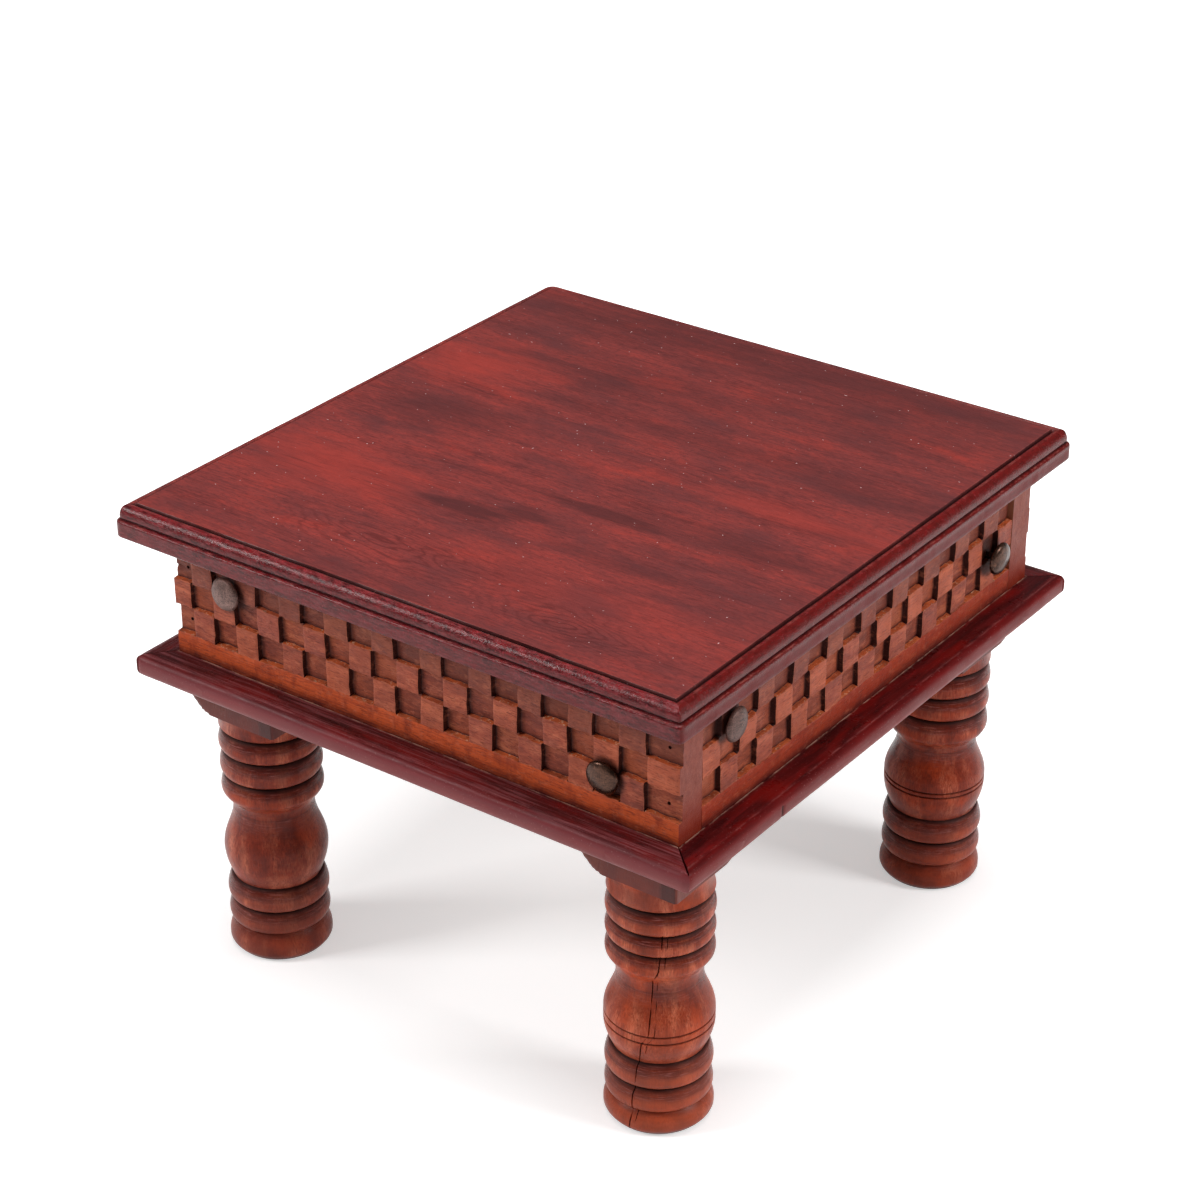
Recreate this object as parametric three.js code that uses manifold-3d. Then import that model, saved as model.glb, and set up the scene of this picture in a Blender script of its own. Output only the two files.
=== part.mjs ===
// Bajot: a low table with a routed top, carved aprons, a nosed base moulding and four turned legs.
// Millimetres, +Z up. The origin is on the floor, under the middle of the whole table.
// The front is -Y and the sides are named as seen by someone who faces the front.
import * as THREE from "three";
import { mergeVertices } from "three/addons/utils/BufferGeometryUtils.js";
import Module from "manifold-3d";

const wasm = await Module();
wasm.setup();

// Overall
const table_height = 231;
const joint_gap = 0.3; // between two pieces that meet, and round each fastener
const overrun = 1; // how far a cutting or joining solid runs past the face that it works on

// Top board and the profile routed on its edge, from the field outwards and down
const top_size_x = 297.6;
const top_size_y = 313.2;
const top_thickness = 15;
const top_corner_radius = 3;
const least_corner_radius = 0.2;
const field_inset = 7.6;
const groove_depth = 1.4;
const groove_batter = 0.3;
const crown_inset = 5.2;
const crown_fall = 0.4;
const ovolo_reach = 3.8;
const ovolo_drop = 5.3;
const quirk_depth = 0.7;
const quirk_height = 0.8;
const ledge_fall = 0.5;
const band_top_round = 1.4;
const band_bottom_round = 0.8;

// Frame of four carved boards: front and back run through, left and right are butted between them.
// The top overhangs it all round, but sits a little forward and to the left of its middle.
const top_overhang_x = 14.3;
const top_overhang_y = 15.6;
const frame_shift_x = 1.5;
const frame_shift_y = 2.8;
const board_thickness = 16;
const board_height = 70.9;

// Carving: rows of square pockets and raised cells, with a plain band above and below
const relief = 3;
const row_count = 3;
const lower_band_height = 10.2;
const upper_band_height = 10.8;
const chisel_margin = 0.35;
const columns_through = 21;
const columns_between = 19;

// Base moulding
const moulding_height = 11.2;
const moulding_projection = 14.2;
const moulding_fall = 0.5;
const nose_top_round = 3;
const nose_bottom_round = 4;
const mitre_gap = 0.5;

// Legs: turned below the block, notched above it so that the boards sit on the block.
// The turned part takes up the height that the top, the boards and the block leave.
const stock_size = 48.5;
const leg_setback = 2.25; // of the block's outer faces behind those of the boards
const block_height = 18.5;
const block_corner_cut = 3.3;
const block_corner_rise = 5;
const turning_allowance = 0.25;
const foot_base_cut = 2.4;
const foot_chamfer_height = 2.8;
const foot_crest_height = 5;
const ring_cut = 3.1;
const bead_cut = 0.5;
const neck_cut = 5.2;
const collar_edge_cut = 1.8;
const shoulder_cut = 0.8;
const shoulder_rise = 1.5;
const scribe_depth = 0.5;
const scribe_width = 1.1;

// Heights on each leg as shares of turned_height, from the foot up. The legs are turned by eye,
// so no two are alike, and two of them have a pair of scribed lines on the bulb.
const leg_shares = {
  front_left: {
    grooves: [0.113, 0.207, 0.303, 0.737, 0.837, 0.927],
    bulb: 0.417,
    neck: 0.588,
    collar: 0.649,
    scribes: [],
  },
  front_right: {
    grooves: [0.093, 0.189, 0.287, 0.726, 0.807, 0.9],
    bulb: 0.378,
    neck: 0.565,
    collar: 0.642,
    scribes: [0.384, 0.413],
  },
  back_right: {
    grooves: [0.106, 0.205, 0.302, 0.743, 0.838, 0.93],
    bulb: 0.41,
    neck: 0.59,
    collar: 0.641,
    scribes: [0.418, 0.437],
  },
  back_left: {
    grooves: [0.103, 0.198, 0.298, 0.734, 0.825, 0.921],
    bulb: 0.405,
    neck: 0.583,
    collar: 0.643,
    scribes: [],
  },
};

// Dome head nails, two on each side, from the boards into the leg posts.
// Across is a share of the post's width, off is a share of the head's rise, and up is a share of
// the height in which a head finds room between the moulding and the top.
const nail_head_radius = 7.8;
const nail_head_rise = 3.2;
const nail_rim = 0.9;
const nail_shank_radius = 1.6;
const nail_grip = 24;
const nail_tip = 4;
const nail_shares = {
  front: {
    left: { across: 0.456, up: 0.712, off: 0.5 },
    right: { across: 0.572, up: 0.274, off: 0.5 },
  },
  right: {
    left: { across: 0.586, up: 0.728, off: 0.63 },
    right: { across: 0.514, up: 0.389, off: 1.19 },
  },
  back: {
    left: { across: 0.514, up: 0.71, off: 0.5 },
    right: { across: 0.514, up: 0.319, off: 0.56 },
  },
  left: {
    left: { across: 0.514, up: 0.72, off: 0.56 },
    right: { across: 0.514, up: 0.319, off: 0.5 },
  },
};

// Brads: thin headless nails, punched in under the surface
const brad_radius = 0.8;
const brad_sunk = 0.8;
const board_brad_grip = 17.5;
const board_brad_share = 0.27; // of the side board's thickness behind its carving
const board_brad_rows = [0, 2]; // rows of the carving that the brads go through
const moulding_brad_grip = 10.3;
const moulding_brad_inset = 27;

// Cleats under the top, and their screws
const cleat_size = 18;
const screw_grip = 9.5;
const screw_radius = 1.75;
const screw_head_radius = 3.4;
const screw_head_height = 2.6;
const screw_tip = 3;
const side_screw_share = 0.36;
const top_screw_share = 0.2;

// Number of sides and steps of round shapes
const leg_sides = 20;
const nail_sides = 16;
const small_sides = 8;
const bead_steps = 3;
const curve_steps = 5;
const corner_steps = 3;

// Levels and places that follow from the sizes
const frame_size_x = top_size_x - 2 * top_overhang_x;
const frame_size_y = top_size_y - 2 * top_overhang_y;
const board_top = table_height - top_thickness - joint_gap;
const board_bottom = board_top - board_height;
const block_top = board_bottom - joint_gap;
const turned_height = block_top - block_height;
const nail_lowest = board_bottom + moulding_height + joint_gap + nail_head_radius;
const nail_highest = board_top - joint_gap - nail_head_radius;
const carving_bottom = board_bottom + moulding_height + lower_band_height;
const row_height = (board_top - upper_band_height - carving_bottom) / row_count;
const stock_half = stock_size / 2;
const turned_radius = stock_half - turning_allowance;
const groove_radius = turned_radius - ring_cut;
const leg_inset = leg_setback + stock_half;
const post_outer_inset = board_thickness + joint_gap;
const post_inner_inset = leg_setback + stock_size;
const cleat_back = frame_size_x / 2 - board_thickness - joint_gap;
const cleat_length = frame_size_y - 2 * (post_inner_inset + joint_gap);
const nail_length = board_thickness + joint_gap + nail_grip;
const board_brad_length = board_thickness - relief - brad_sunk + joint_gap + board_brad_grip;
const moulding_brad_length = moulding_projection - brad_sunk + joint_gap + moulding_brad_grip;
const screw_length = cleat_size + joint_gap + screw_grip;

const finishes = {
  top: { color: 0x7c2a26, roughness: 0.35, metalness: 0 },
  apron: { color: 0x9a4a30, roughness: 0.55, metalness: 0 },
  moulding: { color: 0x5c201e, roughness: 0.35, metalness: 0 },
  leg: { color: 0x8f4630, roughness: 0.45, metalness: 0 },
  cleat: { color: 0xa9744a, roughness: 0.8, metalness: 0 },
  dome_nail: { color: 0x5f554f, roughness: 0.45, metalness: 0.8 },
  steel: { color: 0x6a6764, roughness: 0.5, metalness: 0.8 },
};

// Each side looks outwards along its own -Y, with its left end at its own -X
const sides = {
  front: { turn: 0, depth: frame_size_y / 2, width: frame_size_x },
  right: { turn: Math.PI / 2, depth: frame_size_x / 2, width: frame_size_y },
  back: { turn: Math.PI, depth: frame_size_y / 2, width: frame_size_x },
  left: { turn: -Math.PI / 2, depth: frame_size_x / 2, width: frame_size_y },
};
const side_corners = {
  front: { left: "front_left", right: "front_right" },
  right: { left: "front_right", right: "back_right" },
  back: { left: "back_right", right: "back_left" },
  left: { left: "back_left", right: "front_left" },
};
const corner_signs = {
  front_left: [-1, -1],
  front_right: [1, -1],
  back_right: [1, 1],
  back_left: [-1, 1],
};
const end_signs = { left: -1, right: 1 };

// A closed geometry as a solid: shared vertices are merged and triangles without area are dropped
function solid(geometry) {
  const bare = geometry.clone();
  bare.deleteAttribute("normal");
  bare.deleteAttribute("uv");
  const merged = mergeVertices(bare);
  const corners = Array.from(merged.index.array);
  const kept = [];
  for (let i = 0; i < corners.length; i += 3) {
    const [a, b, c] = corners.slice(i, i + 3);
    if (a !== b && b !== c && c !== a) kept.push(a, b, c);
  }
  return new wasm.Manifold(new wasm.Mesh({
    numProp: 3,
    vertProperties: merged.attributes.position.array,
    triVerts: new Uint32Array(kept),
  }));
}

function geometry_of(body) {
  const { vertProperties, triVerts } = body.getMesh();
  const geometry = new THREE.BufferGeometry();
  geometry.setAttribute("position", new THREE.BufferAttribute(vertProperties, 3));
  geometry.setIndex(new THREE.BufferAttribute(triVerts, 1));
  geometry.computeVertexNormals();
  return geometry;
}

function mesh_of(name, geometry, finish) {
  const mesh = new THREE.Mesh(geometry, new THREE.MeshStandardMaterial(finishes[finish]));
  mesh.name = name;
  return mesh;
}

function box(low, high) {
  const size = high.map((value, axis) => value - low[axis]);
  const middle = high.map((value, axis) => (value + low[axis]) / 2);
  return new THREE.BoxGeometry(...size).translate(...middle);
}

// A turned solid about Z: the profile is a list of [radius, height] from the bottom to the top
function turned(profile, side_count) {
  const points = profile.map(([radius, height]) => new THREE.Vector2(radius, height));
  return new THREE.LatheGeometry(points, side_count).rotateX(Math.PI / 2);
}

// A closed skin over a row of outlines with equal numbers of points, fanned shut at both ends.
// Seen from beyond the last outline, each runs anticlockwise.
function skin(outlines) {
  const count = outlines[0].length;
  const centre = (outline) => outline
    .reduce((sum, point) => sum.add(point), new THREE.Vector3())
    .divideScalar(count);
  const points = [...outlines.flat(), centre(outlines[0]), centre(outlines.at(-1))];
  const first_centre = points.length - 2;
  const last_centre = points.length - 1;
  const last_start = (outlines.length - 1) * count;
  const index = [];
  for (let i = 0; i < count; i += 1) {
    const next = (i + 1) % count;
    index.push(first_centre, next, i);
    index.push(last_centre, last_start + i, last_start + next);
    for (let start = 0; start < last_start; start += count) {
      index.push(start + i, start + next, start + count + next);
      index.push(start + i, start + count + next, start + count + i);
    }
  }
  const geometry = new THREE.BufferGeometry().setFromPoints(points);
  geometry.setIndex(index);
  return geometry;
}

// Part of an ellipse as [x, y] points about a middle, from one angle to another in quarter turns
function arc(middle, reach, from_quarter, to_quarter, steps) {
  return Array.from({ length: steps + 1 }, (_, i) => {
    const angle = (Math.PI / 2) * (from_quarter + ((to_quarter - from_quarter) * i) / steps);
    return [middle[0] + reach[0] * Math.cos(angle), middle[1] + reach[1] * Math.sin(angle)];
  });
}

// Top board: [inset, depth] points of the routed edge, from the underside up to the field
function edge_profile() {
  const ovolo_foot = crown_fall + ovolo_drop;
  const quirk_foot = ovolo_foot + quirk_height;
  const band_top = quirk_foot + ledge_fall + band_top_round;
  const band_foot = top_thickness - band_bottom_round;
  return [
    ...arc([band_bottom_round, band_foot], [-band_bottom_round, band_bottom_round], 1, 0, corner_steps),
    ...arc([band_top_round, band_top], [-band_top_round, -band_top_round], 0, 1, corner_steps),
    [crown_inset - ovolo_reach + quirk_depth, quirk_foot],
    ...arc([crown_inset, ovolo_foot], [-ovolo_reach, -ovolo_drop], 0, 1, curve_steps),
    [field_inset - groove_batter, groove_depth],
    [field_inset, 0],
  ];
}

function rounded_outline(inset, height) {
  const half_x = top_size_x / 2 - inset;
  const half_y = top_size_y / 2 - inset;
  const radius = Math.max(top_corner_radius - inset, least_corner_radius);
  const quarters = [[1, 1], [-1, 1], [-1, -1], [1, -1]];
  return quarters.flatMap(([sign_x, sign_y], quarter) => {
    const middle = [sign_x * (half_x - radius), sign_y * (half_y - radius)];
    return arc(middle, [radius, radius], quarter, quarter + 1, corner_steps);
  }).map(([x, y]) => new THREE.Vector3(x, y, height));
}

function top_geometry() {
  return skin(edge_profile().map(([inset, depth]) => rounded_outline(inset, table_height - depth)));
}

// Carved board, outer face at y = 0 and looking to -Y, its pockets chopped in from that face
function carved_board(length, columns) {
  const half = length / 2;
  const cell = length / columns;
  let body = solid(box([-half, 0, board_bottom], [half, board_thickness, board_top]));
  for (let row = 0; row < row_count; row += 1) {
    const low = carving_bottom + row * row_height - chisel_margin;
    const high = carving_bottom + (row + 1) * row_height + chisel_margin;
    for (let column = row % 2; column < columns; column += 2) {
      const past_start = column === 0 ? overrun : chisel_margin;
      const past_end = column === columns - 1 ? overrun : chisel_margin;
      const start = -half + column * cell - past_start;
      const end = -half + (column + 1) * cell + past_end;
      body = body.subtract(solid(box([start, -overrun, low], [end, relief, high])));
    }
  }
  return geometry_of(body);
}

// Moulding strip with its back at y = 0, mitred at both ends. Its section is [projection, height].
function moulding_section() {
  const lower = [moulding_projection - nose_bottom_round, nose_bottom_round];
  const upper = [moulding_projection - nose_top_round, moulding_height - moulding_fall - nose_top_round];
  return [
    [0, 0],
    ...arc(lower, [nose_bottom_round, nose_bottom_round], -1, 0, corner_steps),
    ...arc(upper, [nose_top_round, nose_top_round], 0, 1, corner_steps),
    [0, moulding_height],
  ];
}

function moulding_strip(back_length) {
  const ends = [1, -1].map((sign) => moulding_section().map(([projection, height]) => {
    const half = back_length / 2 + projection - mitre_gap / 2;
    return new THREE.Vector3(sign * half, -projection, board_bottom + height);
  }));
  return skin(ends);
}

// Leg: [radius, height] points of the turned part, from the floor to the block
function bead(low, high) {
  return Array.from({ length: bead_steps }, (_, i) => {
    const share = (i + 0.5) / bead_steps;
    const bulge = Math.sqrt(Math.sin(Math.PI * share));
    return [groove_radius + (ring_cut - bead_cut) * bulge, low + (high - low) * share];
  });
}

// The points between two points on a curve, which a bend from 0 to 1 shapes
function sweep(from, to, bend) {
  return Array.from({ length: curve_steps - 1 }, (_, i) => {
    const share = (i + 1) / curve_steps;
    return [from[0] + (to[0] - from[0]) * bend(share), from[1] + (to[1] - from[1]) * share];
  });
}

function swell(share) {
  return Math.sin((Math.PI / 2) * share);
}

function drop(share) {
  return 1 - Math.cos((Math.PI / 2) * share);
}

function ease(share) {
  return (1 - Math.cos(Math.PI * share)) / 2;
}

function leg_profile(shares) {
  const level = (share) => share * turned_height;
  const grooves = shares.grooves.map((share) => [groove_radius, level(share)]);
  const heights = grooves.map(([, height]) => height);
  const foot_crest = [turned_radius, foot_crest_height];
  const neck = [turned_radius - neck_cut, level(shares.neck)];
  const collar_edge = [turned_radius - collar_edge_cut, level(shares.collar)];
  const shoulder_radius = turned_radius - shoulder_cut;
  const scribes = shares.scribes.map(level).flatMap((height) => [
    [turned_radius, height - scribe_width / 2],
    [turned_radius - scribe_depth, height],
    [turned_radius, height + scribe_width / 2],
  ]);
  const bulb = scribes.length ? scribes : [[turned_radius, level(shares.bulb)]];
  return [
    [0, 0],
    [turned_radius - foot_base_cut, 0],
    [turned_radius, foot_chamfer_height],
    foot_crest,
    ...sweep(foot_crest, grooves[0], drop),
    grooves[0],
    ...bead(heights[0], heights[1]),
    grooves[1],
    ...bead(heights[1], heights[2]),
    grooves[2],
    ...sweep(grooves[2], bulb[0], swell),
    ...bulb,
    ...sweep(bulb.at(-1), neck, ease),
    neck,
    ...sweep(neck, collar_edge, ease),
    collar_edge,
    ...bead(collar_edge[1], heights[3]).slice(1),
    grooves[3],
    ...bead(heights[3], heights[4]),
    grooves[4],
    ...bead(heights[4], heights[5]),
    grooves[5],
    [shoulder_radius, heights[5] + shoulder_rise],
    [shoulder_radius, (heights[5] + turned_height) / 2],
    [turned_radius, turned_height],
    [turned_radius, turned_height + overrun],
    [0, turned_height + overrun],
  ];
}

// The block under the boards, its lower corners turned back about the axis of the leg
function leg_block() {
  const corner_radius = stock_half * Math.SQRT2;
  const cutter = turned([
    [0, turned_height - overrun],
    [corner_radius - block_corner_cut, turned_height - overrun],
    [corner_radius - block_corner_cut, turned_height],
    [corner_radius + overrun, turned_height + block_corner_rise],
    [corner_radius + overrun, block_top + overrun],
    [0, block_top + overrun],
  ], leg_sides);
  const square = box([-stock_half, -stock_half, turned_height], [stock_half, stock_half, block_top]);
  return solid(square).intersect(solid(cutter));
}

// The post above the block, notched on the two sides where the boards run
function leg_post([sign_x, sign_y]) {
  const near = leg_inset - post_outer_inset;
  const far = leg_inset - post_inner_inset;
  const [x_low, x_high] = [sign_x * near, sign_x * far].sort((a, b) => a - b);
  const [y_low, y_high] = [sign_y * near, sign_y * far].sort((a, b) => a - b);
  return solid(box([x_low, y_low, block_top - overrun], [x_high, y_high, board_top]));
}

function leg_geometry(corner) {
  const signs = corner_signs[corner];
  const body = solid(turned(leg_profile(leg_shares[corner]), leg_sides))
    .add(leg_block())
    .add(leg_post(signs));
  const x = signs[0] * (frame_size_x / 2 - leg_inset);
  const y = signs[1] * (frame_size_y / 2 - leg_inset);
  return geometry_of(body).translate(x, y, 0);
}

// Fasteners: [radius, height] profiles from the tip up to the head, whose seat is at height 0
function nail_profile() {
  return [
    [0, -nail_length],
    [nail_shank_radius, nail_tip - nail_length],
    [nail_shank_radius, 0],
    [nail_head_radius - nail_rim / 2, 0],
    [nail_head_radius, nail_rim / 2],
    ...arc([0, nail_rim], [nail_head_radius, nail_head_rise - nail_rim], 0, 1, curve_steps).slice(0, -1),
    [0, nail_head_rise],
  ];
}

function brad_profile(length) {
  return [[0, -length], [brad_radius, -length], [brad_radius, 0], [0, 0]];
}

function screw_profile() {
  return [
    [0, -screw_length],
    [screw_radius, screw_tip - screw_length],
    [screw_radius, -screw_head_height],
    [screw_head_radius, 0],
    [0, 0],
  ];
}

// The hole round a shank, open above the seat
function shank_bore(radius, length, side_count) {
  return turned([
    [0, -length - joint_gap],
    [radius + joint_gap, -length - joint_gap],
    [radius + joint_gap, board_thickness],
    [0, board_thickness],
  ], side_count);
}

// The hole round a screw, countersunk for its head and open above the seat
function screw_bore() {
  return turned([
    [0, -screw_length - joint_gap],
    [screw_radius + joint_gap, -screw_length - joint_gap],
    [screw_radius + joint_gap, -screw_head_height - joint_gap],
    [screw_head_radius + joint_gap, 0],
    [screw_head_radius + joint_gap, board_thickness],
    [0, board_thickness],
  ], small_sides);
}

// A place on a side: the head looks outwards, x runs along the side and out is measured from its face
function on_side(side, x, out, height) {
  return new THREE.Matrix4().makeRotationZ(sides[side].turn)
    .multiply(new THREE.Matrix4().makeTranslation(x, -sides[side].depth - out, height))
    .multiply(new THREE.Matrix4().makeRotationX(Math.PI / 2));
}

// Each fastener has its shape, the hole that clears it, its place and the names of what it holds
const fasteners = [];

for (const [side, pair] of Object.entries(nail_shares)) {
  Object.entries(pair).forEach(([end, { across, up, off }], i) => {
    const inset = post_outer_inset + across * (post_inner_inset - post_outer_inset);
    const x = end_signs[end] * (sides[side].width / 2 - inset);
    fasteners.push({
      name: `dome_nail_${side}_${i + 1}`,
      finish: "dome_nail",
      shape: turned(nail_profile(), nail_sides),
      bore: shank_bore(nail_shank_radius, nail_length, nail_sides),
      place: on_side(side, x, off * nail_head_rise, nail_lowest + up * (nail_highest - nail_lowest)),
      holds: [`apron_${side}`, `leg_${side_corners[side][end]}`],
    });
  });
}

for (const side of ["front", "back"]) {
  for (const [end, corner] of Object.entries(side_corners[side])) {
    const inset = relief + board_brad_share * (board_thickness - relief);
    const x = end_signs[end] * (sides[side].width / 2 - inset);
    board_brad_rows.forEach((row, i) => {
      fasteners.push({
        name: `apron_brad_${corner}_${i + 1}`,
        finish: "steel",
        shape: turned(brad_profile(board_brad_length), small_sides),
        bore: shank_bore(brad_radius, board_brad_length, small_sides),
        place: on_side(side, x, -relief - brad_sunk, carving_bottom + (row + 0.5) * row_height),
        holds: [`apron_${side}`, `apron_${corner.split("_")[1]}`],
      });
    });
  }
}

for (const side of Object.keys(sides)) {
  Object.values(end_signs).forEach((sign, i) => {
    const x = sign * (sides[side].width / 2 - moulding_brad_inset);
    const out = joint_gap + moulding_projection - brad_sunk;
    fasteners.push({
      name: `moulding_brad_${side}_${i + 1}`,
      finish: "steel",
      shape: turned(brad_profile(moulding_brad_length), small_sides),
      bore: shank_bore(brad_radius, moulding_brad_length, small_sides),
      place: on_side(side, x, out, board_bottom + moulding_height / 2),
      holds: [`base_moulding_${side}`, `apron_${side}`],
    });
  });
}

for (const [side, sign] of Object.entries(end_signs)) {
  Object.values(end_signs).forEach((end, i) => {
    const side_y = end * side_screw_share * cleat_length;
    const top_y = end * top_screw_share * cleat_length;
    const outward = new THREE.Matrix4()
      .makeTranslation(sign * (cleat_back - cleat_size), side_y, board_top - cleat_size / 2)
      .multiply(new THREE.Matrix4().makeRotationY((-sign * Math.PI) / 2));
    const upward = new THREE.Matrix4()
      .makeTranslation(sign * (cleat_back - cleat_size / 2), top_y, board_top - cleat_size)
      .multiply(new THREE.Matrix4().makeRotationX(Math.PI));
    const screw = { finish: "steel", shape: turned(screw_profile(), small_sides), bore: screw_bore() };
    fasteners.push({
      ...screw,
      name: `cleat_screw_${side}_${i + 1}`,
      place: outward,
      holds: [`top_cleat_${side}`, `apron_${side}`],
    });
    fasteners.push({
      ...screw,
      name: `top_screw_${side}_${i + 1}`,
      place: upward,
      holds: [`top_cleat_${side}`, "top_board"],
    });
  });
}

// The pieces are placed about the middle of the frame
const bajot = new THREE.Group();

// Adds a wooden piece with the holes of the fasteners that hold it
function add_wood(name, geometry, finish) {
  let body = solid(geometry);
  for (const { bore, place, holds } of fasteners) {
    if (holds.includes(name)) body = body.subtract(solid(bore.clone().applyMatrix4(place)));
  }
  bajot.add(mesh_of(name, geometry_of(body), finish));
}

add_wood("top_board", top_geometry().translate(-frame_shift_x, -frame_shift_y, 0), "top");

for (const [side, { turn, depth, width }] of Object.entries(sides)) {
  const runs_through = side === "front" || side === "back";
  const length = runs_through ? width : width - 2 * (board_thickness + joint_gap);
  const board = carved_board(length, runs_through ? columns_through : columns_between);
  const strip = moulding_strip(width + 2 * joint_gap);
  add_wood(`apron_${side}`, board.translate(0, -depth, 0).rotateZ(turn), "apron");
  add_wood(`base_moulding_${side}`, strip.translate(0, -depth - joint_gap, 0).rotateZ(turn), "moulding");
}

for (const corner of Object.keys(leg_shares)) {
  add_wood(`leg_${corner}`, leg_geometry(corner), "leg");
}

for (const [side, sign] of Object.entries(end_signs)) {
  const cleat = box(
    [-cleat_size, -cleat_length / 2, board_top - cleat_size],
    [0, cleat_length / 2, board_top],
  );
  const turn = sign > 0 ? 0 : Math.PI;
  add_wood(`top_cleat_${side}`, cleat.translate(cleat_back, 0, 0).rotateZ(turn), "cleat");
}

for (const { name, finish, shape, place } of fasteners) {
  const mesh = mesh_of(name, shape, finish);
  mesh.applyMatrix4(place);
  bajot.add(mesh);
}

// The whole table is moved so that its middle stands over the origin
const middle = new THREE.Box3().setFromObject(bajot).getCenter(new THREE.Vector3());
bajot.position.set(-middle.x, -middle.y, 0);

export default bajot;
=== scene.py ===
"""Bajot low table: the looks of its wood and nails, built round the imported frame."""

import functools
import itertools
import math

import bpy
import numpy as np
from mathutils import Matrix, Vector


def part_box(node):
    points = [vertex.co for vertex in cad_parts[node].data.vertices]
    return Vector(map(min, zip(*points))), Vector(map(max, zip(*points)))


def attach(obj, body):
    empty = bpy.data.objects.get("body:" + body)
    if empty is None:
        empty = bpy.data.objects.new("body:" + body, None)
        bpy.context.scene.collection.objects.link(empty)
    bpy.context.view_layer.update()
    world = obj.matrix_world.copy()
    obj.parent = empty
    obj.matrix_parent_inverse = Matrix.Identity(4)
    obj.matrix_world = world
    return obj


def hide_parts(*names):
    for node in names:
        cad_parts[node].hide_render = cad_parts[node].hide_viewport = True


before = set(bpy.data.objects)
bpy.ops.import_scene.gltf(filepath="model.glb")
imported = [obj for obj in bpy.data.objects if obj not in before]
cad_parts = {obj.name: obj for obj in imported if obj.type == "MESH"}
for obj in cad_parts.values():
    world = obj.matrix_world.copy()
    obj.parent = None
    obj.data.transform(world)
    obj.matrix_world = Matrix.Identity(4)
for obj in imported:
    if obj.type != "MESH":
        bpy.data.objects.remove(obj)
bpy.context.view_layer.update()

# Sizes in this script are millimetres; a mesh, a material or a light takes them times MM
MM = 0.001
UP = np.array([0.0, 0.0, 1.0])
BODY = "root"
ORIGIN = (0, 0, 0)

# Camera, lamps and floor
CAMERA_PLACE = (685.17, -947.17, 798.27)
CAMERA_AZIMUTH = 36.06
CAMERA_DOWN = 28.52
CAMERA_LENS = 88.25
CAMERA_SENSOR = 36
LAMPS = (  # name, place, size and power
    ("overhead", (0, 0, 1900), 1200, 27),
    ("left_box", (-1250, -1350, 1250), 620, 21),
    ("right_box", (1750, 500, 1150), 620, 21),
)
LAMP_AIM = (0, 0, 150)
WORLD_LEVEL = 0.16
FLOOR_SIZE = 24000
FLOOR_LEVEL = -0.4
FLOOR_COLOUR = (0.86, 0.86, 0.86, 1)
FLOOR_LIFT = (0.46, 1)  # how much whiter the floor is seen, near the table and far from it
FLOOR_LIFT_REACH = (200, 900)

# Routed edge of the top, from the field outwards and down
FIELD_INSET = 7.6
GROOVE_DEPTH = 1.4
GROOVE_BATTER = 0.3
CROWN_INSET = 5.2
CROWN_FALL = 0.4
OVOLO_REACH = 3.8
OVOLO_DROP = 5.3
QUIRK_DEPTH = 0.7
QUIRK_HEIGHT = 0.8
LEDGE_FALL = 0.5
BAND_TOP_ROUND = 1.4
BAND_BOTTOM_ROUND = 0.8
TOP_CORNER_RADII = (4, 8, 4, 3)  # anticlockwise from the back right corner
LEAST_CORNER_RADIUS = 0.2
FAR_GROOVE = 0.25  # the painted shade and dirt of the groove are weaker along the left and the back
TOP_WEAR_DEPTH = 14  # the wear of the edge ends above the underside

# Carving
RELIEF = 3
ROWS = 3
LOWER_BAND = 10.2
UPPER_BAND = 10.8
COLUMNS_THROUGH = 21
COLUMNS_BETWEEN = 19
FIRST_COLUMN_SHARE = 0.75  # on the front and back, of the width of the others
LAST_COLUMN_SHARE = 1.29
WORN_END_SHARE = 0.3  # of the relief is left in the first column of the back board
SUNK_SPREAD = (-0.45, 0.25)  # how the depth of the cells varies
RAISED_SPREAD = (0, 0.45)
LEAN_U, LEAN_Z = 0.28, 0.22  # how far the faces of the cells lean
STRAY_U, STRAY_Z = 0.45, 0.42  # how far the edges of the cells stray
CELL_MARGIN = 0.3
WALL_HALF = 0.12  # half the slope of a wall
WALL_FOOT = 0.36
WALL_STEP = 0.3  # lines of the grid that lie closer than this have a wall between them
ARRIS_SHARE = 0.06
WALL_FALL = 1  # a wall falls by more than this between two lines, and a flank by more than the next
FLANK_FALL = 0.1
SHADED_FLANK_DEPTH = 2  # flanks that lie deeper get painted shade
ARRIS_DEPTH = 1  # flanks that lie higher are pale
RECESS_SHADE_DEPTH = 1.2  # from here the painted shade along the walls grows, over the same depth again
RECESS_SHADE_REACH = 0.5
FOOT_FADE = 3.8
ROW_REACH = 0.9  # of the rough chopping beside the edges of the rows
GOUGE_PLACE = (1.5, 197)  # on the front board: from its start, and its height
GOUGE_SIZES = (2.4, 0.8)
GOUGE_DEPTH = 1.6
NAIL_SHADOW_REACH = 2.2  # of the dirt and painted shadow round a nail head
# The painted shadow round each nail is shifted towards the side where its shadow falls: along u and z
NAIL_SHADOW_SHIFT = {"front": (0.8, -0.6), "right": (-1.2, 0.2), "back": (0.6, 0), "left": (-0.6, 0)}
BAND_COLOURS = {"front": (206, 84, 36), "right": (158, 46, 18), "back": (180, 66, 28), "left": (190, 74, 32)}

# Dents over the brads
HOLE_RADIUS = 0.85
MOULDING_HOLE_RADIUS = 0.7
HOLE_DEPTH = 5

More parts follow.
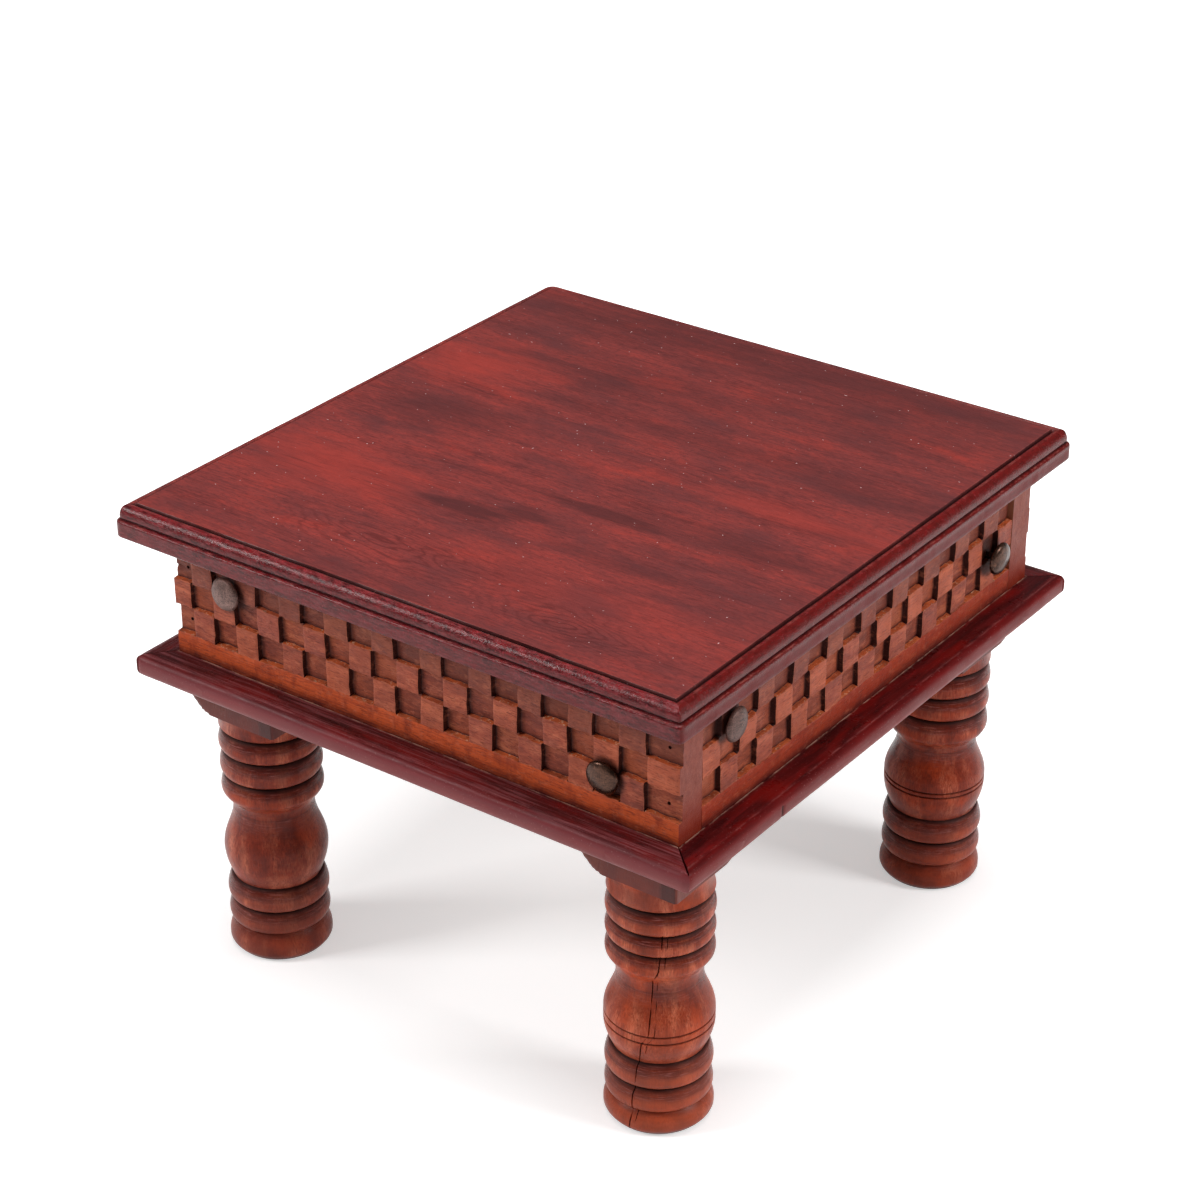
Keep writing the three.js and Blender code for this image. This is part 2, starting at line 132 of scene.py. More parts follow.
# Base moulding
MOULDING_FALL = 0.5
NOSE_TOP_ROUND = 3.4
NOSE_BOTTOM_ROUND = 4
NOSE_STEP = 0.25
MITRE_GAP = 1.7
TOP_FACE_POINTS = 6
SEAM_WIDTH = 0.9
REFLECTION_HEIGHT = 6  # below this the nose gets a paler painted reflection of the floor
REFLECTION_FADE = 2.5
MOULDING_LOOKS = {  # how much painted sheen is on top, and the colour of the nose, which holds painted light: pinker on the lit front, deep red on the right
    "front": (0.75, (136, 62, 66)),
    "right": (0.04, (112, 9, 5)),
    "back": (0.3, (116, 36, 36)),
    "left": (0.5, (122, 44, 46)),
}
NOSE_CRACK = (-82, 149, 3.5)  # along the right side, its height, and half its length
NOSE_CRACK_DEPTH = 0.6

# Legs
TURNED_HEIGHT = 126
BLOCK_HEIGHT = 18.5
STOCK_HALF = 24.25
BLOCK_ARRIS_CUT = 0.7
TURNED_RADIUS = 24
POST_OUTER = 10.2  # how far the post reaches outwards from the axis
SHOULDER_CUT = 0.9
SHOULDER_RISE = 1.5
POMMEL_CUT = 6.6  # off the lower corners of the block
POMMEL_RISE = 9
POMMEL_FULLNESS = 0.7
SQUARE_CORNER = -45  # this corner of each block is left square
SQUARE_SPREAD = (20, 30)
SHADED_END = 11  # degrees from that corner over which the block gets painted shade
FOOT_BASE_CUT = 2.4
FOOT_CHAMFER = 2.8
FOOT_CREST = 5
RING_CUT = 3.5
BEAD_CUT = 0.5
BEAD_LEAN = 0.61  # the crest of a bead is in its lower part
BEAD_FULLNESS = 0.6
BEAD_STAINED_FROM = 0.44
BEAD_FADE = 0.16
NECK_CUT = 5.2
COLLAR_EDGE_CUT = 1.8
SCRIBE_DEPTH = 0.5
SCRIBE_WIDTH = 1.1
GROOVE_RADIUS = TURNED_RADIUS - RING_CUT
LEG_OVAL = 0.12

# Heights on each leg as shares of the turned height, from the foot up
LEG_SHARES = {
    "front_left": {
        "grooves": (0.113, 0.207, 0.303, 0.737, 0.837, 0.927),
        "bulb": 0.417, "neck": 0.588, "collar": 0.649, "scribes": (),
    },
    "front_right": {
        "grooves": (0.093, 0.189, 0.287, 0.726, 0.807, 0.9),
        "bulb": 0.378, "neck": 0.565, "collar": 0.642, "scribes": (0.384, 0.413),
    },
    "back_right": {
        "grooves": (0.106, 0.205, 0.302, 0.743, 0.838, 0.93),
        "bulb": 0.41, "neck": 0.59, "collar": 0.641, "scribes": (0.418, 0.437),
    },
    "back_left": {
        "grooves": (0.103, 0.198, 0.298, 0.734, 0.825, 0.921),
        "bulb": 0.405, "neck": 0.583, "collar": 0.643, "scribes": (),
    },
}
LEG_TONES = {  # a colour that each leg leans to, and how much
    "front_left": ((114, 46, 38), 0.45),
    "front_right": ((184, 82, 50), 0.38),
    "back_right": ((118, 34, 13), 0.5),
    "back_left": ((120, 46, 30), 0.4),
}
CORNER_SIGNS = {"front_left": (-1, -1), "front_right": (1, -1), "back_right": (1, 1), "back_left": (-1, 1)}

# The crack down the front leg: [height, direction about the axis in degrees], from the foot up
CRACK_PATH = (
    (0, -87), (13, -84), (20, -84), (27, -80), (34, -80), (41, -76), (48, -73.5), (53, -66),
    (70, -65), (79, -63.5), (85, -57), (94, -54.4), (104, -52.6), (112, -52),
)
CRACK_START = CRACK_PATH[0][1]
CRACK_TOP = 107
CRACK_DEPTH = 1.3
CRACK_TWIN = 6  # degrees from the crack to a finer one beside it

# Dome head nails
NAIL_HEAD_RADIUS = 7.8
NAIL_RISE = 3.2
NAIL_EDGE = 0.9
NAIL_SHANK_RADIUS = 1.6
NAIL_TIP = 4
NAIL_LOOKS = {  # the finish, and how far the head leans along the side and up, in degrees
    "front_1": ("dull", 2, -2), "front_2": ("bronze", -2, 3), "right_1": ("matte", -3, 1),
    "right_2": ("bronze", 3, 2), "back_1": ("dull", 1, 2), "back_2": ("bronze", -2, -1),
    "left_1": ("matte", 2, 2), "left_2": ("dull", -2, 1),
}

# Fineness of the meshes
FINE_STEP = 1.25
LEG_SIDES = 120
NAIL_SIDES = 56

# Each wood has its colours, and the [length, width, contrast] of its streaks, fibres, pores and blotches
WOODS = {
    "top": {
        "dark": (78, 30, 31), "mid": (121, 49, 46), "light": (148, 54, 47), "stain": (76, 40, 42),
        "streaks": (80, 11, 0.3), "fibres": (7, 1.1, 0.75),
        "pores": (3.4, 0.6, 0.6), "blotches": (60, 26, 0.45),
        "gloss": 0.2, "bump": 0.3,
    },
    "apron": {
        "dark": (88, 30, 18), "mid": (150, 68, 44), "light": (192, 104, 70), "stain": (88, 36, 26),
        "streaks": (22, 5, 0.7), "fibres": (4, 1, 0.8),
        "pores": (2.2, 0.6, 0.8), "blotches": (11, 7, 0.65),
        "gloss": 0.22, "bump": 0.8,
    },
    "moulding": {
        "dark": (34, 3, 6), "mid": (80, 11, 13), "light": (112, 22, 24), "stain": (30, 5, 9),
        "streaks": (60, 3.2, 0.6), "fibres": (12, 0.7, 0.5),
        "pores": (3, 0.4, 0.5), "blotches": (40, 8, 0.6),
        "gloss": 0.14, "bump": 0.35,
    },
    "leg": {
        "dark": (84, 24, 10), "mid": (158, 62, 38), "light": (216, 120, 88), "stain": (86, 26, 17),
        "streaks": (50, 10, 0.72), "fibres": (4, 0.7, 0.6),
        "pores": (2.6, 0.45, 0.6), "blotches": (26, 13, 0.7),
        "gloss": 0.14, "bump": 0.5,
    },
    "cleat": {
        "dark": (120, 78, 46), "mid": (168, 120, 78), "light": (190, 146, 102), "stain": (110, 70, 48),
        "streaks": (80, 6, 0.6), "fibres": (14, 0.8, 0.7),
        "pores": (3, 0.4, 0.6), "blotches": (50, 20, 0.3),
        "gloss": 0.2, "bump": 0.8,
    },
}
GRAIN = {  # detail, roughness and bend of the noise of each part of the grain
    "streaks": (3, 0.5, 0.4), "fibres": (3, 0.65, 0), "blotches": (4, 0.6, 0), "pores": (1, 0.5, 0),
}
TONES = {"dark": 0.1, "mid": 0.5, "light": 0.9}
STREAK_SPREAD = 2.6
BLOTCH_COVER = (0.46, 0.68)
PORE_COVER = (0.6, 0.72)
PORE_DEPTH = 0.8
GRAIN_BUMP = 0.12
AXES = {"x": 0, "y": 1, "z": 2}

# Marks on the top: [x, y], their half sizes along and across the grain, and how strong they are
DARK_MARKS = (
    ((-20, -70), (24, 7), 0.85),
    ((0, -60), (12, 5), 0.7),
    ((28, -40), (34, 5), 0.7),
    ((97, -33), (60, 9), 0.55),
    ((100, 40), (60, 14), 0.3),
    ((-92, 0), (38, 22), 0.5),
    ((-38, 78), (70, 20), 0.45),
    ((20, 45), (90, 10), 0.4),
    ((66, 105), (80, 26), 0.35),
    ((-60, 136), (120, 22), 0.6),
    ((50, 140), (120, 20), 0.5),
    ((60, -75), (50, 5), 0.35),
)
WARM_MARKS = (
    ((-112, 52), (34, 26), 0.6),
    ((-100, -72), (60, 26), 0.55),
    ((100, 5), (60, 10), 0.45),
    ((60, -105), (80, 20), 0.2),
)
WARM = (154, 52, 43)
SWIRLS = (((-32, -117), (46, 15)), ((74, -128), (34, 12)))
SWIRL_RISE = 0.5
RINGS = 85
RINGS_ELSEWHERE = 0.12  # how strongly the rings show away from the swirls
KNOT_WIDTH = 8  # marks that are narrower have sharper edges
SOFT_EDGE = (1.3, 0.2)
SHARP_EDGE = (1.2, 0.6)
SWIRL_EDGE = (1.5, 0)
MARK_RAGGED = 2.2
SWIRL_RAGGED = 0.35
RIGHT_EDGE = (136, 139)  # where the painted shade of the right edge fades in, and the painted sheen of the front edge
FRONT_EDGE = (-145, -148)
EDGE_MITRE = (-10, -9)  # x + y where the two meet at the corner
SCRATCHES = ((0.3, 5, 1.6), (4, 0.5, 0.4), (1.2, 2.2, 0.35))

PRIMES = (374761393, 668265263, 2246822519)
SEED_PRIME = 2654435761
SCRAMBLE = 1274126177
WORD = 2 ** 32


def scramble(seed, cells):
    """A number from 0 to 1 for each whole-number place. Its products are meant to wrap round."""
    mixed = np.full(cells[0].shape, (seed * SEED_PRIME + 97) % WORD, np.uint32)
    with np.errstate(over="ignore"):
        for cell, prime in zip(cells, PRIMES):
            mixed = mixed ^ (cell % WORD).astype(np.uint32) * np.uint32(prime)
            mixed = (mixed ^ (mixed >> np.uint32(13))) * np.uint32(SCRAMBLE)
    return (mixed ^ (mixed >> np.uint32(16))) / WORD


def noise(seed, size, *coords):
    """Smooth noise from -1 to 1 whose lumps are about size across."""
    scaled = [c / size for c in np.broadcast_arrays(*[np.asarray(c, float) for c in coords])]
    whole = [np.floor(c).astype(np.int64) for c in scaled]
    share = [(c - w) ** 2 * (3 - 2 * (c - w)) for c, w in zip(scaled, whole)]
    total = 0
    for corner in itertools.product((0, 1), repeat=len(scaled)):
        weight = 1
        for t, end in zip(share, corner):
            weight = weight * (t if end else 1 - t)
        total = total + weight * scramble(seed, [w + end for w, end in zip(whole, corner)])
    return 2 * total - 1


def box_of(node):
    low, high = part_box(node)
    return np.array(low) / MM, np.array(high) / MM


def arc(middle, reach, from_quarter, to_quarter, steps):
    """Points on part of an ellipse, from one angle to another in quarter turns."""
    angles = np.linspace(from_quarter, to_quarter, steps + 1) * math.pi / 2
    return [(middle[0] + reach[0] * math.cos(a), middle[1] + reach[1] * math.sin(a)) for a in angles]


def skin_faces(rings, points):
    """The quads of a closed tube over rings of points, and a cap on its first and last ring."""
    i = np.arange(rings - 1)[:, None] * points
    j = np.arange(points)[None, :]
    k = (j + 1) % points
    quads = np.stack([i + j, i + k, i + points + k, i + points + j], -1).reshape(-1, 4)
    first = list(range(points))[::-1]
    last = [(rings - 1) * points + n for n in range(points)]
    return quads.tolist() + [first, last]


def add_piece(name, points, material, node, sharp, point_masks=None, face_masks=None):
    """A closed skin over rings of points, in place of a CAD node. Its masks are numbers that the
    material reads by name."""
    mesh = bpy.data.meshes.new(name)
    faces = skin_faces(*points.shape[:2])
    mesh.from_pydata((points.reshape(-1, 3) * MM).tolist(), [], faces)
    for masks, domain in ((point_masks, "POINT"), (face_masks, "FACE")):
        for mask, values in (masks or {}).items():
            layer = mesh.attributes.new(mask, "FLOAT", domain)
            layer.data.foreach_set("value", np.asarray(values, np.float32).ravel())
    mesh.shade_smooth()
    mesh.set_sharp_from_angle(angle=math.radians(sharp))
    mesh.materials.append(material)
    piece = bpy.data.objects.new(name, mesh)
    bpy.context.scene.collection.objects.link(piece)
    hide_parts(node)
    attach(piece, BODY)


class Side:
    """One side of the table, seen from outside: u runs to the right, depth runs inwards and z up."""

    def __init__(self, name, degrees):
        angle = math.radians(degrees)
        self.name = name
        self.along = np.array([math.cos(angle), math.sin(angle), 0]).round(9)
        self.inward = np.array([-math.sin(angle), math.cos(angle), 0]).round(9)
        self.axis = "x" if abs(self.along[0]) > 0.5 else "y"

    def reach(self, node):
        """Lowest and highest u, depth and z of a node."""
        low, high = box_of(node)
        directions = (self.along, self.inward, UP)
        return [sorted((float(low @ way), float(high @ way))) for way in directions]

    def place(self, u, depth, z):
        return u[..., None] * self.along + depth[..., None] * self.inward + z[..., None] * UP

    def brads(self, kind):
        """Where brads go in through this side: u and z."""
        found = []
        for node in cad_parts:
            if node.startswith(f"{kind}_brad_{self.name}_"):
                (u_low, u_high), _, (z_low, z_high) = self.reach(node)
                found.append(((u_low + u_high) / 2, (z_low + z_high) / 2))
        return found


SIDES = [Side("front", 0), Side("right", 90), Side("back", 180), Side("left", 270)]


# Colours and materials

def linear(red, green, blue):
    """A colour given as it shows on a screen, from 0 to 255, as the shader wants it."""
    parts = [c / 255 for c in (red, green, blue)]
    return tuple(c / 12.92 if c <= 0.04045 else ((c + 0.055) / 1.055) ** 2.4 for c in parts) + (1,)


class Shader:
    """A material, short ways to add nodes to it, and its colour, which is painted in layers.
    What goes into a node is a number, the output of another node, or the name of a mask."""

    def __init__(self, name):
        self.material = bpy.data.materials.new(name)
        self.material.use_nodes = True
        self.tree = self.material.node_tree
        self.surface = self.tree.nodes["Principled BSDF"]

    def feed(self, socket, value):
        if isinstance(value, str):
            value = self.node("ShaderNodeAttribute", {}, "Fac", attribute_name=value)
        if isinstance(value, bpy.types.NodeSocket):
            self.tree.links.new(value, socket)
        else:
            socket.default_value = value

    def node(self, kind, values, output=0, **settings):
        made = self.tree.nodes.new(kind)
        for key, value in settings.items():
            setattr(made, key, value)
        for key, value in values.items():
            self.feed(made.inputs[key], value)
        return made.outputs[output]

    def math(self, operation, *values):
        return self.node("ShaderNodeMath", dict(enumerate(values)), operation=operation)

    def times(self, first, second):
        return self.math("MULTIPLY", first, second)

    def plus(self, first, second):
        return self.math("ADD", first, second)

    def minus(self, first, second):
        return self.math("SUBTRACT", first, second)

    def range(self, value, span, levels=(0, 1)):
        """What goes from one level to the other, and no further, as the value goes over the span."""
        names = ("Value", "From Min", "From Max", "To Min", "To Max")
        return self.node("ShaderNodeMapRange", dict(zip(names, (value, *span, *levels))), clamp=True)

    def coordinate(self, axis):
        coords = self.node("ShaderNodeTexCoord", {}, "Object")
        return self.node("ShaderNodeSeparateXYZ", {0: coords}, axis)

    def between(self, value, span):
        """From 0 to 1 as a length goes over a span of millimetres."""
        return self.range(value, [end * MM for end in span])

    def place(self, sizes, shift):
        """Object coordinates, so divided that noise of scale 1 has lumps of these sizes."""
        coords = self.node("ShaderNodeTexCoord", {}, "Object")
        values = {"Vector": coords, "Location": shift, "Scale": [1 / (MM * size) for size in sizes]}
        return self.node("ShaderNodeMapping", values, vector_type="POINT")

    def noise(self, sizes, shift=ORIGIN, detail=2, rough=0.5, bend=0):
        names = ("Vector", "Scale", "Detail", "Roughness", "Distortion")
        values = (self.place(sizes, shift), 1, detail, rough, bend)
        return self.node("ShaderNodeTexNoise", dict(zip(names, values)), "Fac")

    def patches(self, sizes, shift, span, detail=2, rough=0.5, levels=(0, 1), bend=0):
        """Noise that goes from one level to the other over a span of its own values."""
        return self.range(self.noise(sizes, shift, detail, rough, bend), span, levels)

    def mix(self, share, first, second):
        colours = [c if isinstance(c, bpy.types.NodeSocket) else linear(*c) for c in (first, second)]
        values = {0: share, 6: colours[0], 7: colours[1]}
        return self.node("ShaderNodeMix", values, 2, data_type="RGBA", clamp_factor=True)

    def paint(self, colour, *shares):
        """Lays a colour over the one so far. The product of the shares says how much of it."""
        self.colour = self.mix(functools.reduce(self.times, shares), self.colour, colour)

    def bump(self, height, strength, distance, before=None):
        values = {"Height": height, "Strength": strength, "Distance": distance * MM}
        if before is not None:
            values["Normal"] = before
        return self.node("ShaderNodeBump", values)

    def finish(self, rough, normal, **constants):
        for name, value in (("Base Color", self.colour), ("Roughness", rough), ("Normal", normal)):
            self.feed(self.surface.inputs[name], value)
        for name, value in constants.items():
            self.surface.inputs[name.replace("_", " ")].default_value = value
        return self.material


def along(axis, length, width):
    """Sizes of a lump that is long in the direction of the grain."""
    sizes = [width] * 3
    sizes[AXES[axis]] = length
    return sizes


def wood(name, kind, axis, seed):
    """A shader with the colour and height of wood whose grain runs along an axis."""
    look = WOODS[kind]
    shader = Shader(name)
    shift = (seed * 3.7, seed * 1.9, seed * 5.3)
    grain = {part: shader.noise(along(axis, *look[part][:2]), shift, *how) for part, how in GRAIN.items()}
    contrast = {part: look[part][2] for part in GRAIN}
    streak = shader.times(shader.minus(grain["streaks"], 0.5), contrast["streaks"] * STREAK_SPREAD)
    fibre = shader.times(shader.minus(grain["fibres"], 0.5), contrast["fibres"] * STREAK_SPREAD / 2)
    tone = shader.plus(shader.plus(streak, fibre), 0.5)
    shader.colour = shader.node("ShaderNodeValToRGB", {"Fac": tone})
    stops = shader.colour.node.color_ramp.elements
    stops.new(0.5)
    for stop, (level, place) in zip(stops, TONES.items()):
        stop.position = place
        stop.color = linear(*look[level])
    shader.paint(look["stain"], shader.range(grain["blotches"], BLOTCH_COVER), contrast["blotches"])
    pore = shader.range(grain["pores"], PORE_COVER)
    shader.paint(look["dark"], pore, contrast["pores"])
    shader.height = shader.minus(grain["fibres"], shader.times(pore, PORE_DEPTH))
    return shader


def wood_finish(shader, kind, rough, normal):
    look = WOODS[kind]
    normal = shader.bump(shader.height, look["bump"], GRAIN_BUMP, normal)
    return shader.finish(rough, normal, Specular_IOR_Level=look["gloss"])


def spot(shader, place, sizes, ragged=MARK_RAGGED, edge=SOFT_EDGE):
    """A soft spot on the top, 1 in its middle and 0 beyond its ragged edge."""
    shift = [-p / s for p, s in zip(place, sizes)] + [0]
    flat = shader.place((*sizes, 1e6), shift)
    warp = shader.noise((34, 6, 34), shift, 4, 0.6)
    length = shader.node("ShaderNodeVectorMath", {0: flat}, "Value", operation="LENGTH")
    reach = shader.plus(length, shader.times(shader.minus(warp, 0.5), ragged))
    return shader.range(reach, edge)


def top_material():
    shader = wood("top_wood", "top", "x", 3)
    cloud = shader.noise((56, 20, 56), (3.1, 7.7, 1), 6, 0.65)
    shader.paint((84, 42, 44), shader.range(cloud, (0.48, 0.66)), 0.65)
    shader.paint(WARM, shader.range(cloud, (0.44, 0.3)), 0.65)
    shader.paint((84, 32, 32), shader.patches((3, 2, 3), (5, 8, 2), (0.5, 0.66), 4, 0.7), 0.4)
    for place, sizes, strength in WARM_MARKS:
        shader.paint(WARM, spot(shader, place, sizes), strength)
    for place, sizes, strength in DARK_MARKS:
        edge = SHARP_EDGE if sizes[1] < KNOT_WIDTH else SOFT_EDGE
        shader.paint((74, 32, 33), spot(shader, place, sizes, MARK_RAGGED, edge), strength)

    # Lines of the year rings, which show where they swirl
    field = shader.noise((110, 26, 110), (4.2, 1.3, 0), 2, 0.5, 0.2)
    swirled = RINGS_ELSEWHERE
    for place, sizes in SWIRLS:
        near = spot(shader, place, sizes, SWIRL_RAGGED, SWIRL_EDGE)
        field = shader.plus(field, shader.times(near, SWIRL_RISE))
        swirled = shader.plus(swirled, near)
    rings = shader.range(shader.math("SINE", shader.times(field, RINGS)), (0.3, 1))
    shader.paint((76, 24, 24), rings, shader.math("MINIMUM", swirled, 1), 0.6)

    # Fine lengthwise lines, and dust
    shader.paint((78, 28, 27), shader.patches((22, 0.8, 22), (8, 2, 5), (0.58, 0.7)), 0.45)
    shader.paint((200, 165, 165), shader.patches((1.3, 1.3, 1.3), (7, 7, 7), (0.85, 0.88), 0), 0.8)

    # The routed edge: glossy, dark and mottled, with fine bright specks that are painted glints
    shader.paint((84, 12, 16), "routed", 0.9)
    shader.paint((98, 24, 26), "band", 0.5)
    mottle = shader.noise((5, 5, 1.6), (4, 2, 9), 4, 0.7)
    shader.paint((36, 4, 8), "routed", shader.range(mottle, (0.5, 0.62)), 0.75)
    shader.paint((126, 16, 22), "routed", shader.range(mottle, (0.46, 0.34)), 0.6)
    # Painted glints: fine pale specks on the routed edge
    shader.paint((170, 64, 74), "routed", shader.patches((1.3, 1.3, 1), (2, 9, 4), (0.6, 0.7), 3), 0.4)

    # Its right side is painted darker and redder as shade, and its front has a pale painted sheen
    x, y = shader.coordinate("X"), shader.coordinate("Y")
    to_right = shader.between(shader.plus(x, y), EDGE_MITRE)
    shaded_right = shader.times(to_right, shader.between(x, RIGHT_EDGE))
    sheen_front = shader.times(shader.minus(1, to_right), shader.between(y, FRONT_EDGE))
    edge = shader.plus(shader.times("routed", 0.5), shader.times("band", 0.2))
    shader.paint((96, 15, 7), shaded_right, edge)
    painted_sheen = shader.patches((5, 1, 1), (6, 6, 1), (0.44, 0.62), 3, 0.6)
    shader.paint((150, 64, 68), sheen_front, "routed", painted_sheen, 0.4)

    # The groove and quirk, painted dark as shade and dirt, the worn arrises and the bare underside
    shader.paint((30, 6, 8), "dark", 0.88)
    shader.paint((164, 92, 84), "worn", shader.patches((7, 7, 1.2), (1, 5, 2), (0.47, 0.62), 4, 0.8), 0.8)
    shader.paint((150, 96, 66), "bare", 0.8)
    rough = shader.patches((14, 6, 9), ORIGIN, (0.3, 0.7), 4, levels=(0.3, 0.44))
    rough = shader.plus(rough, shader.times("routed", -0.13))
    rough = shader.plus(rough, shader.times(shader.times(shaded_right, "band"), 0.25))
    grit = shader.noise((0.8, 0.8, 0.8), (3, 3, 8), 3)
    return wood_finish(shader, "top", rough, shader.bump(shader.times(grit, "routed"), 0.7, 0.25))


def apron_material(name, axis, seed, band_colour):
    shader = wood(name, "apron", axis, seed)

    # The cells differ in tone
    shader.paint((184, 90, 50), shader.range("tint", (0.5, 1)), 0.45)
    shader.paint((128, 58, 48), shader.range("tint", (0.5, 0)), 0.4)
    shader.paint((186, 96, 78), "raised", 0.25)
    shader.paint((112, 46, 32), "sunk", 0.35)

    # The lower band with its streaks and runs, the upper cells painted darker as stain and as the shade
    # under the top's overhang, and the stained foot
    shader.paint(band_colour, "band", 0.8)
    streaks = shader.patches(along(axis, 60, 1.3), (seed, 3, 1), (0.5, 0.66), 4, 0.7)
    shader.paint((134, 44, 22), "band", streaks, 0.6)
    drips = shader.patches(along("z", 16, 6), (seed, 8, 1), (0.5, 0.68), 5, 0.55)
    shader.paint((112, 32, 18), "band", drips, 0.6)
    # The top row painted darker: stain together with painted shade under the top's overhang
    shader.paint((92, 46, 36), "upper", 0.5)
    runs = shader.patches(along(axis, 12, 3), (seed, 1, 1), (0.3, 0.6), 3, levels=(0.6, 1.2))
    shader.paint((78, 16, 13), "foot", runs, 0.95)

    # Ledges paler as rough fibres and as painted light from above, pale worn arrises, dark walls, and
    # painted shade in corners
    speck = shader.patches((1.5, 1.5, 1.1), (2, 8, 1), (0.56, 0.66), 4, 0.75)
    ledge_fibres_and_light = shader.mix(speck, (214, 104, 58), (240, 196, 160))
    patchy = shader.patches((9, 9, 9), (seed, 7, 7), (0.36, 0.54), 3, levels=(0.35, 1))
    shader.paint(ledge_fibres_and_light, "lit_ledge", patchy)
    shader.paint((210, 124, 94), "arris", shader.range(speck, (0, 1), (0.2, 0.8)))
    shader.paint((38, 10, 8), "end_wall", 0.93)
    # Painted shade in deep corners, under walls that face down, and on the top row's ledges under the
    # overhang
    shader.paint((50, 17, 12), "corner", 0.75)
    # Painted shade, with some dirt, along the feet of deep walls, less on the ledges
    shader.paint((58, 20, 14), "recess_shade_and_dirt", shader.minus(0.6, shader.times("lit_ledge", 0.5)))

    # Cut fibres and pale patches
    cuts = shader.patches(along(axis, 3.6, 0.55), (seed, 6, 2), (0.53, 0.64), 3, 0.6, (0, 0.5))
    shader.paint((88, 34, 24), cuts)
    shader.paint((206, 118, 88), shader.patches((5, 5, 3), (seed, 2, 6), (0.54, 0.68), 5, 0.7), 0.28)
    shader.height = shader.minus(shader.height, cuts)

    # End grain, redder at its foot and darker at its top
    grain = shader.patches((1.4, 1.4, 3), (5, seed, 5), (0.3, 0.7), 4, 0.7)
    end_grain = shader.mix(grain, (118, 56, 46), (146, 80, 68))
    level = shader.coordinate("Z")
    end_grain = shader.mix(shader.between(level, (178, 160)), end_grain, (126, 31, 9))
    upper_end = shader.times(shader.between(level, (200, 214)), 0.7)
    end_grain = shader.mix(upper_end, end_grain, (96, 46, 36))
    shader.paint(end_grain, "end", 0.9)
    # Dirt round the nail heads together with their painted shadow, shifted to one side
    shader.paint((46, 14, 9), "nail_dirt_and_shadow", 0.85)
    shader.paint((160, 104, 76), "bare", 0.75)
    rough = shader.patches((9, 9, 9), ORIGIN, (0.3, 0.7), 3, levels=(0.49, 0.63))
    tooled = shader.noise((2.4, 2.4, 2.4), (seed, 2, 3), 4, 0.7)
    return wood_finish(shader, "apron", rough, shader.bump(tooled, 0.6, 0.3))


def moulding_material(name, axis, seed, sheen_share, nose_colour):
    shader = wood(name, "moulding", axis, seed)
    shader.paint(nose_colour, "nose", 0.6)
    on_top = shader.minus(1, "nose")
    red = shader.patches(along(axis, 30, 8), (seed, 2, 2), (0.48, 0.64), 4)
    shader.paint((126, 12, 8), on_top, red, 0.7)
    # Painted sheen on the top face, as much as this side's share
    painted_sheen = shader.patches(along(axis, 34, 1.1), (seed, 4, 9), (0.47, 0.6), 4, 0.7, (0.1, 1))
    shader.paint((140, 78, 82), on_top, painted_sheen, sheen_share)
    # Painted reflection of the floor on the lower part of the nose
    rubbed_and_reflected = shader.patches(along(axis, 22, 3), (seed, 3, 7), (0.3, 0.6), 3, levels=(0.6, 1))
    shader.paint((146, 88, 86), "floor_reflection", rubbed_and_reflected, 0.5)
    # Painted glints: fine pale specks over the moulding
    shader.paint((150, 96, 96), shader.patches((0.9, 0.9, 0.9), (3, 4, 5), (0.66, 0.76), 1), 0.4)
    chipped = shader.patches((9, 9, 1.4), (seed, 5, 2), (0.42, 0.62), 4, 0.8)
    shader.paint((146, 80, 78), "worn", chipped, 0.7)
    shader.paint((24, 6, 7), "dark", 0.9)
    broken = shader.patches(along(axis, 9, 2), (seed, 9, 3), (0.42, 0.56), 4, 0.7)
    shader.paint((196, 150, 132), "seam", broken)
    rough = shader.patches((9, 9, 9), (seed, 1, 5), (0.3, 0.7), 3, levels=(0.24, 0.36))
    rough = shader.plus(rough, shader.times("nose", 0.16))
    waves = shader.noise(along(axis, 26, 5), (seed, 6, 6), 3)
    return wood_finish(shader, "moulding", rough, shader.bump(waves, 0.3, 0.6))


